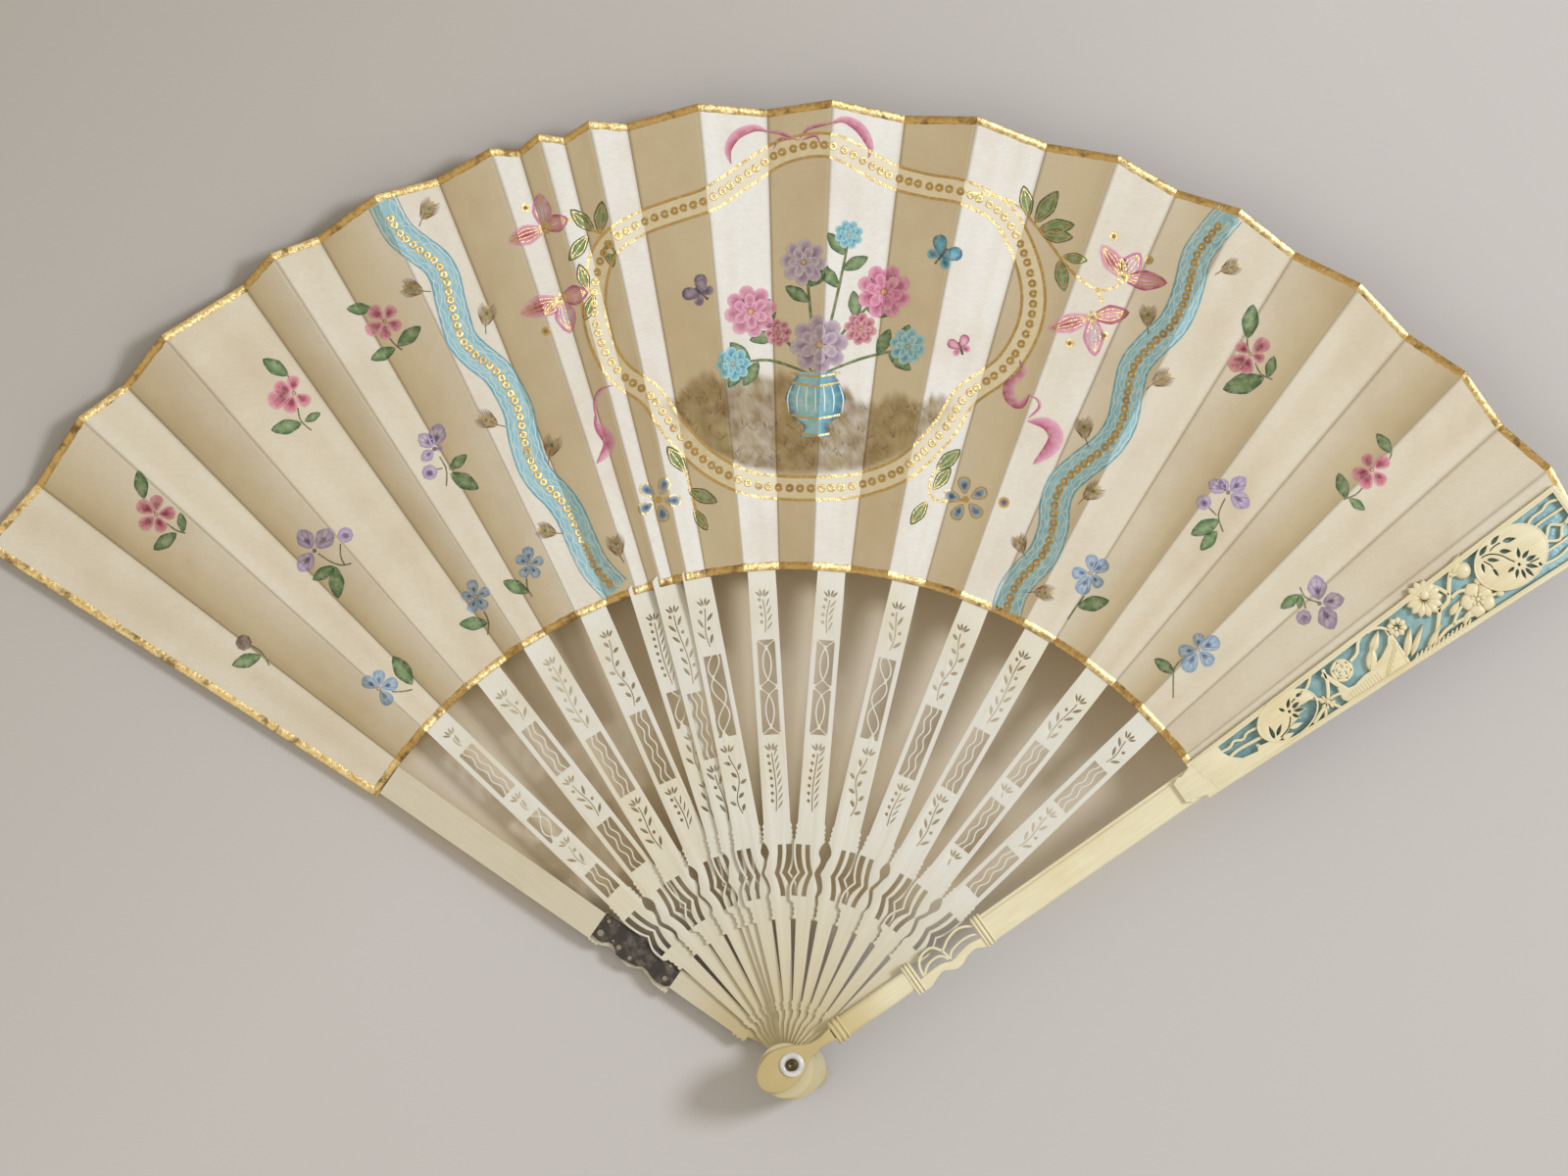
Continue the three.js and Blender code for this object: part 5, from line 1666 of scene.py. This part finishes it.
# What stands in the panel's openings: thin lines, leaves, flowers and a hatched rock
scroll = {
    "lines": [
        ([(146.5, 3.1), (150.3, 2.5), (152.4, 3.3), (154.8, 2.2), (156.9, 3.1), (162.0, 2.2)], 0.8),
        ([(147.5, 0.0), (151.5, 0.6), (155.5, 0.3), (160.0, -0.3)], 0.95),
        ([(156.8, -1.2), (157.6, -1.9), (157.9, -3.0)], 0.7),
        ([(174.0, 4.7), (176.5, 3.6), (178.4, 4.4), (180.6, 6.4)], 0.8),
        ([(173.5, -5.5), (176.5, -4.2), (180.0, -2.6), (182.9, 1.5), (184.0, 5.5)], 1.05),
        ([(175.5, 1.8), (178.0, -0.3), (180.0, -2.6), (181.8, -5.5), (183.5, -8.0)], 0.95),
        ([(176.2, -7.4), (180.0, -2.6), (184.6, -2.8)], 0.85),
        ([(183.2, 4.6), (185.0, 0.0), (186.5, -3.6)], 1.5),
        ([(198.6, 7.2), (196.4, 6.0), (194.4, 3.7), (191.6, 2.9)], 1.0),
        ([(200.0, 6.7), (202.2, 6.6), (204.6, 5.0), (205.0, 2.4)], 0.9),
        ([(204.9, 4.2), (204.8, -0.7), (204.7, -5.2), (204.4, -8.6)], 1.3),
        ([(206.8, -7.3), (211.2, -6.9), (215.2, -4.9), (218.2, -1.9), (220.5, 0.9)], 1.2),
        ([(209.0, -7.2), (214.5, -6.3), (219.0, -5.2), (223.5, -5.4), (227.5, -6.2)], 1.0),
        ([(221.0, -5.3), (223.4, -3.4), (225.8, -2.3)], 0.9),
        ([(219.6, 0.2), (223.4, 1.0), (225.2, 3.2), (227.6, 6.2), (230.3, 8.6)], 1.25),
        ([(222.0, 7.4), (223.7, 5.0), (224.7, 2.4)], 1.1),
        ([(224.8, 1.2), (227.2, 1.6), (229.6, 0.6)], 1.0),
        ([(227.7, 6.4), (229.6, 5.9), (231.4, 5.6)], 0.9),
        ([(231.6, -3.0), (234.5, -4.6), (237.2, -5.3)], 0.9),
        ([(250.3, 5.0), (253.3, 5.6), (256.0, 6.6), (259.3, 6.7), (262.0, 7.5), (266.2, 6.2)], 0.8),
        ([(250.5, 3.4), (255.5, 4.1), (259.5, 4.2), (266.8, 3.9)], 0.75),
        ([(252.5, 1.6), (255.0, -0.9), (258.7, 2.1), (262.2, 0.2), (267.5, 2.4)], 0.85),
        ([(253.2, -3.0), (255.0, -0.9), (258.9, -2.7), (262.2, 0.2), (267.5, -2.0)], 0.85),
        ([(252.6, -3.4), (258.0, -3.6), (262.0, -3.6), (267.8, -3.9)], 0.75),
        ([(250.6, -5.7), (253.8, -6.4), (257.0, -6.5), (260.4, -5.9), (263.6, -6.9),
          (268.0, -6.4)], 0.8),
    ],
    "leaves": [((194.7, -2.6), (199.4, 3.2), 3.2), ((197.6, 1.2), (203.0, 5.6), 2.6),
               ((204.9, -5.2), (210.9, 1.3), 2.3), ((206.2, -5.8), (214.2, -0.2), 1.7),
               ((211.0, -6.6), (218.8, -2.9), 1.6), ((221.6, -2.6), (226.4, -0.6), 2.0),
               ((223.2, -6.8), (228.0, -4.2), 1.8), ((228.6, 6.6), (233.6, 10.0), 2.6)],
    "rock": [(184.4, -1.0), (186.3, -2.7), (188.9, -3.2), (192.7, -2.4), (194.8, -2.5),
             (196.0, -2.0), (199.2, -1.1), (202.6, 0.7), (204.9, 3.6), (204.9, -1.0),
             (204.8, -5.0), (204.6, -8.6), (194.0, -8.3), (185.5, -7.9), (183.8, -4.6)],
    "rockHigh": 4.3, "rockLines": 11, "rockStart": 186.4, "rockStep": 0.92,
    "bends": 7, "bend": (197.0, -7.8), "bendStep": (1.1, 0.9),
    "teeth": 13, "tooth": 206.5, "toothStep": 1.45, "toothSize": 1.5,
    # a kind, its middle and its size; petals have a count, a length, a width and a turn
    "flowers": [
        ("petals", 180.0, -2.7, 8, 2.4, 0.95, 0.2, 4.75), ("heart", 180.0, -2.7, 1.1, 4.85),
        ("rose", 188.2, 2.2, 3.4, 4.9),
        ("petals", 207.7, 3.3, 8, 3.0, 1.9, 0.1, 4.75), ("heart", 207.2, 3.1, 1.1, 4.95),
        ("petals", 218.4, 5.4, 13, 5.4, 2.5, 0.05, 4.9, 0.12), ("heart", 219.1, 6.3, 3.0, 5.05),
        ("petals", 230.6, -3.3, 5, 5.2, 4.6, 0.3, 4.85, 0.08),
        ("petals", 230.6, -3.3, 7, 2.4, 1.3, 0.6, 5.0, 0.1), ("heart", 230.6, -3.3, 1.2, 5.12),
        ("heart", 231.7, 5.7, 5.0, 4.85), ("heart", 233.5, 0.8, 2.3, 4.8),
        ("heart", 236.7, -5.4, 2.3, 4.8)],
}


def within(point, margin):
    # a point held inside the panel's edges
    x = min(point[0], carved["end"] - 1.2)
    reach = edgeHalf(x) - 0.5 - margin
    return (x, min(reach, max(-reach, point[1])))


def addFringe(bm):
    # the toothed leaf that hugs the lower border beside the rock
    for i in range(scroll["teeth"]):
        x = scroll["tooth"] + scroll["toothStep"] * i
        y = 0.9 - edgeHalf(x)
        addHeart(bm, x, y, scroll["toothSize"], carved["panelHigh"] + 0.12)
        barAlong(bm, [(x, y), (x + 1.9, y + 1.5)], [0.9, 0.4], 3.4, 4.8, 0.2, 1)


def addRock(bm):
    rock = [within(p, 0) for p in scroll["rock"]]
    mergeInto(bm, flatCut([rock], carved["panelLow"], scroll["rockHigh"], 0.2))
    for i in range(scroll["rockLines"]):
        x = scroll["rockStart"] + i * scroll["rockStep"]
        barAlong(bm, [(x, -7.9), (x + 0.5, -5.6), (x + 0.3, -3.9)], [0.38, 0.44, 0.2], 4.1,
                 4.5, 0.14, 1)
    for i in range(scroll["bends"]):
        x, y = (start + i * step for start, step in zip(scroll["bend"], scroll["bendStep"]))
        line = [(x, y), (x + 1.4, y + 2.6), (min(204.3, x + 3.4), y + 3.4)]
        barAlong(bm, smoothPoints(line), 0.42, 4.1, 4.52, 0.14, 1)


flowerParts = {"petals": addPetals, "heart": addHeart, "rose": addRose}


def addFlowers(bm):
    for kind, *numbers in scroll["flowers"]:
        flowerParts[kind](bm, *numbers)


def addPanelFrame(bm):
    start, end = carved["start"], carved["end"]
    half, tip = carved["rootHalf"], carved["tipHalf"]
    low, high = carved["panelLow"], carved["panelHigh"]
    upper = carved["tab"] + [(start, 4.6), (start, half), (end - 0.6, tip), (end, tip - 0.6)]
    outline = upper + [(x, -y) for x, y in reversed(upper)]
    mergeInto(bm, flatCut([outline] + [field], low, high - 0.12, 0.2))
    plate = carved["step"][::-1] + [(150, edgeHalf(150) - 0.4), (end - 1.0, tip - 0.5),
                                    (end - 1.0, 0.5 - tip), (150, 0.4 - edgeHalf(150))]
    mergeInto(bm, flatCut([plate] + [field], high - 0.6, high, 0.1))
    for side in (1, -1):
        line = [(x, side * (edgeHalf(x) - 0.95)) for x in (150, 190, 230, end - 2)]
        barAlong(bm, line, 0.34, high - 0.3, high + 0.14, 0.12, 1)
    cross = [(end - 1.2, y) for y in (9.6, 0, -9.6)]
    barAlong(bm, cross, 0.34, high - 0.3, high + 0.14, 0.12, 1)


def addCollar(bm, start, end, width, middle, low):
    # three half-round rings, the middle one broader
    for share, size in carved["rings"]:
        path, widths, highs = [], [], []
        for i in range(7):
            swell = 0.62 * sin(pi * (i / 6)) ** 0.6
            path.append((start + (end - start) * (share + size * (i / 6 - 0.5)), middle))
            widths.append(width + 1.6 * swell - 0.4)
            highs.append(carved["thickness"] - 0.25 + swell)
        barAlong(bm, path, widths, low, highs, 1.1, 4)


def addHead(bm):
    outline = smoothPoints(carved["head"], 0.9)
    bore = ellipse(0, 0, 3.0, 3.0, 0, 18)
    mergeInto(bm, flatCut([outline, bore], 0, carved["thickness"], 0.55))


def addBars(bm, mended):
    high = carved["thickness"]
    low = carved["mendedLow"] if mended else 0
    barAlong(bm, [(x, carved["lowerMiddle"]) for x in carved["lowerBar"]],
             carved["lowerWidth"], 0.02, high, 1.3, 5)
    widths = [carved["upperWidth"] + (carved["upperTipWidth"] - carved["upperWidth"]) * i / 4
              for i in range(5)]
    # the inner face is eased where the sticks twist to meet the leaf
    for middle, narrower, raised, lower, soft, turns in carved["upperSteps"]:
        barAlong(bm, [(x, middle) for x in carved["upperBar"]], [w - narrower for w in widths],
                 [level + raised for level in carved["upperLows"]], high - lower, soft, turns)
    for start, end, width, middle in carved["collars"]:
        foot = 0 if start < 30 else low
        addCollar(bm, start, end, width, middle, foot + 0.06)
        barAlong(bm, [(start - 0.1, middle), (end + 0.1, middle)], width - 0.9, foot + 0.1,
                 high - 0.35, 0.9, 3)


def addScallops(bm, mended):
    high = carved["thickness"]
    if mended:
        plate = carved["stripOuter"] + [(42.5, 4.3), (64.4, 4.3)]
        mergeInto(bm, flatCut([plate], 0.93, high - 0.3, 0.2))
        return
    inner = smoothPoints(carved["stripInner"], 0.9)
    outer = smoothPoints(carved["stripOuter"], 0.9)
    mergeInto(bm, flatCut([inner + outer], 0.03, high - 0.25, 0.35))
    for points in carved["arches"]:
        barAlong(bm, smoothPoints(points, 0.7), carved["arch"], 0.7, high - 0.7, 0.22, 2)


def guardPlace(turnedOver, angle, face):
    # from the guard's own frame to the fan's
    turn = Matrix.Rotation(angle, 4, "Z") @ Matrix.Translation((0, 0, face))
    if turnedOver:
        turn = turn @ Matrix.Rotation(pi, 4, "X")
    return Matrix.Scale(mm, 4) @ turn


guards = {
    "front": {"node": "front_guard", "foil": "front_foil", "mended": False, "ivory": frontIvory,
              "place": guardPlace(False, radians(fan["frontAngle"]),
                                  boxLevels("front_guard")[0])},
    "back": {"node": "back_guard", "foil": "back_foil", "mended": True, "ivory": backIvoryShaded,
             "place": guardPlace(True, radians(fan["backAngle"]), boxLevels("back_guard")[1])},
}


def finishPiece(bm, name, material, place, body, replaced, soften=40):
    markOwnPlace(bm, (0, 40, 20))
    bmesh.ops.recalc_face_normals(bm, faces=bm.faces)
    bmesh.ops.transform(bm, matrix=place, verts=bm.verts)
    piece = toMesh(bm, name, [material])
    softEdges(piece, soften)
    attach(piece, body)
    if replaced:
        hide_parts(replaced)
    return piece


def buildGuard(guard):
    bm = bmesh.new()
    addHead(bm)
    addBars(bm, guard["mended"])
    addScallops(bm, guard["mended"])
    addPanelFrame(bm)
    for oval in ovals:
        addOval(bm, oval)
    for points, width in scroll["lines"]:
        line = [within(p, width / 2) for p in smoothPoints(points, 0.8)]
        barAlong(bm, line, width, carved["panelLow"], 4.35, 0.28, 2)
    for start, end, width in scroll["leaves"]:
        addLeaf(bm, start, end, width, 4.6)
    addRock(bm)
    addFringe(bm)
    addFlowers(bm)
    return finishPiece(bm, "carved_" + guard["node"], guard["ivory"], guard["place"],
                       guard["node"], guard["node"])


for guard in guards.values():
    buildGuard(guard)
print("guards made:", len(guards))


# Foil behind the carving, the dark mend with its pins, washers and rivet

foilBlue = mottledMaterial("blueFoil", (160.0, 0.4, 0.7), tone(152, 188, 196),
                           tone(112, 156, 172), {"Metallic": 0.25, "Roughness": 0.38}, 0.4)
mendDark = mottledMaterial("darkMend", (320.0, 0.45, 0.75), tone(50, 45, 42),
                           tone(104, 96, 86), {"Roughness": 0.42}, 0.5)
pearlShell = mottledMaterial("pearlShell", (260.0, 0.35, 0.7), tone(222, 220, 216),
                             tone(188, 190, 196), {"Roughness": 0.16, "Coat Weight": 0.8})
rivetSteel = finishMaterial(newMaterial("rivetSteel")[0], {
    "Base Color": tone(92, 80, 58), "Metallic": 1.0, "Roughness": 0.42})
pinGrey = finishMaterial(newMaterial("pinGrey")[0], {
    "Base Color": tone(138, 128, 112), "Roughness": 0.5})


def buildFoil(guard):
    low, high = carved["foilLow"], carved["foilLow"] + carved["foil"]
    end = carved["end"] - 0.8
    outline = [(x, side * (edgeHalf(x) - 0.75)) for x, side in
               ((146.2, 1), (205, 1), (end, 1), (end, -1), (205, -1), (146.2, -1))]
    bm = flatCut([outline], low, high, 0.03)
    return finishPiece(bm, "blue_" + guard["foil"], foilBlue, guard["place"], guard["node"],
                       guard["foil"])


for guard in guards.values():
    buildFoil(guard)


def buildMend():
    bm = flatCut([carved["mendOutline"]], 0.0, 0.8, 0.08)
    back = guards["back"]
    finishPiece(bm, "dark_mend", mendDark, back["place"], "back_guard",
                "mend_plate")
    pins = bmesh.new()
    for x, y, size in carved["pins"]:
        bmesh.ops.create_cone(pins, cap_ends=True, segments=14, radius1=size, radius2=size * 0.7,
                              depth=0.16, matrix=Matrix.Translation((x, y, -0.06)))
    finishPiece(pins, "mend_pins", pinGrey, back["place"], "back_guard", None)


buildMend()

pivot = {
    "washerOuter": 3.5, "washerInner": 1.75, "rivetHead": 1.62, "shaft": 1.3, "headEdge": 0.3,
    # radius and depth under the top of the rivet's hollowed head
    "headTop": [(0, 0.5), (0.5, 0.45), (0.9, 0.1), (1.25, 0.12)],
}


def spunPiece(profile, name, material, replaced):
    # a turned piece about the pivot; a profile that stays off the axis closes on itself
    bm = bmesh.new()
    spun(bm, profile, 40, profile[0][0] > 0)
    return finishPiece(bm, name, material, Matrix.Scale(mm, 4), "back_guard", replaced, 50)


def buildWasher(name, outward):
    low, high = boxLevels(name)
    outer, inner = pivot["washerOuter"], pivot["washerInner"]
    flat, crown = (low, high) if outward > 0 else (high, low)
    rise = crown - flat
    profile = [(inner, flat), (outer, flat), (outer, flat + 0.35 * rise),
               (outer - 0.35, flat + 0.75 * rise), (outer - 0.9, crown),
               (inner + 0.5, flat + 0.82 * rise), (inner, flat + 0.45 * rise)]
    return spunPiece(profile, "pearl_" + name, pearlShell, name)


buildWasher("front_washer", 1)
buildWasher("back_washer", -1)


def buildRivet():
    low, high = boxLevels("rivet")
    front, back = boxLevels("front_washer")[1], boxLevels("back_washer")[0]
    head, shaft = pivot["rivetHead"], pivot["shaft"]
    profile = [(radius, low + depth) for radius, depth in pivot["headTop"]]
    profile += [(head, back - pivot["headEdge"]), (head, back), (shaft, back), (shaft, front),
                (head, front), (head, front + pivot["headEdge"])]
    profile += [(radius, high - depth) for radius, depth in reversed(pivot["headTop"])]
    return spunPiece(profile, "steel_rivet", rivetSteel, "rivet")


buildRivet()
print("pivot, foils and mend made")


# Camera, light and floor

view = {"middleX": -2.2, "middleY": 132.7, "width": 437.9, "distance": 3000.0, "level": 12.0,
        "sensor": 36.0}
lamps = {
    "keyLamp": {"place": (1.5, 0.62, 1.66), "size": 0.62, "energy": 28.6,
                "colour": (0.905, 0.952, 1)},
    "fillLamp": {"place": (-0.9, -0.2, 1.5), "size": 1.4, "energy": 3, "colour": (1, 0.95, 0.87)},
}
table = {
    # painted shade: the table's tones from its darker upper left to its lighter lower right
    "level": -0.0004, "dark": tone(175, 172, 168), "light": tone(196, 194, 195),
    # painted light: tone and reach of the tint for bounced light under the fan
    "bounceTone": tone(217, 201, 171), "slant": (-0.518, -0.153), "bounceReach": (0.112, 0.142),
    "bounceHemmed": (0.4, 0.95),
}


def addCamera():
    camera = bpy.data.objects.new("camera", bpy.data.cameras.new("camera"))
    scene.collection.objects.link(camera)
    camera.location = Vector((view["middleX"], view["middleY"],
                              view["level"] + view["distance"])) * mm
    camera.data.sensor_width = view["sensor"]
    camera.data.lens = view["sensor"] * view["distance"] / view["width"]
    camera.data.clip_start, camera.data.clip_end = 0.1, 20
    scene.camera = camera


def addLamp(name, look):
    lamp = bpy.data.objects.new(name, bpy.data.lights.new(name, "AREA"))
    scene.collection.objects.link(lamp)
    lamp.data.shape = "DISK"
    lamp.data.size = look["size"]
    lamp.data.energy = look["energy"]
    lamp.data.color = look["colour"]
    lamp.location = look["place"]
    aim = Vector((0, 0.12, 0)) - Vector(look["place"])
    lamp.rotation_euler = aim.to_track_quat("-Z", "Y").to_euler()


def addFloor():
    bm = bmesh.new()
    bmesh.ops.create_grid(bm, x_segments=1, y_segments=1, size=4)
    bmesh.ops.translate(bm, verts=bm.verts, vec=(0, 0, table["level"]))
    material, tree = newMaterial("paleTable")
    # painted shade: the table grows darker toward the upper left of the view, where less light
    # falls
    place = node(tree, "ShaderNodeTexCoord").outputs["Object"]
    parts = node(tree, "ShaderNodeSeparateXYZ", {"Vector": place}).outputs
    slant = node(tree, "ShaderNodeMath", {0: parts["X"], 1: parts["Y"]},
                 operation="SUBTRACT").outputs[0]
    colour = mixColour(tree, ranged(tree, slant, *table["slant"]), table["dark"], table["light"])
    # painted light: between and under the sticks the ground's colour is tinted tan where it is
    # hemmed in, standing in for light that has come off ivory and tan paper
    oval = node(tree, "ShaderNodeMapping", {"Vector": place, "Location": (0, -0.2, 0),
                "Scale": (1, 2, 0)}).outputs["Vector"]
    reach = node(tree, "ShaderNodeVectorMath", {0: oval}, operation="LENGTH").outputs["Value"]
    under = node(tree, "ShaderNodeAmbientOcclusion", {"Distance": 0.05}, samples=8).outputs["AO"]
    paintedBounce = times(tree, ranged(tree, reach, *table["bounceReach"], 1, 0),
                   ranged(tree, under, *table["bounceHemmed"], 1, 0))
    finishMaterial(material, {
        "Base Color": mixColour(tree, paintedBounce, colour, table["bounceTone"]), "Roughness": 0.9,
        "Specular IOR Level": 0.1})
    toMesh(bm, "table", [material])


def addWorld():
    world = bpy.data.worlds.new("studio")
    world.use_nodes = True
    world.node_tree.nodes["Background"].inputs["Color"].default_value = tone(252, 241, 222)
    world.node_tree.nodes["Background"].inputs["Strength"].default_value = 0.62
    scene.world = world


addCamera()
for name, look in lamps.items():
    addLamp(name, look)
addWorld()
addFloor()
print("camera and lamps set")
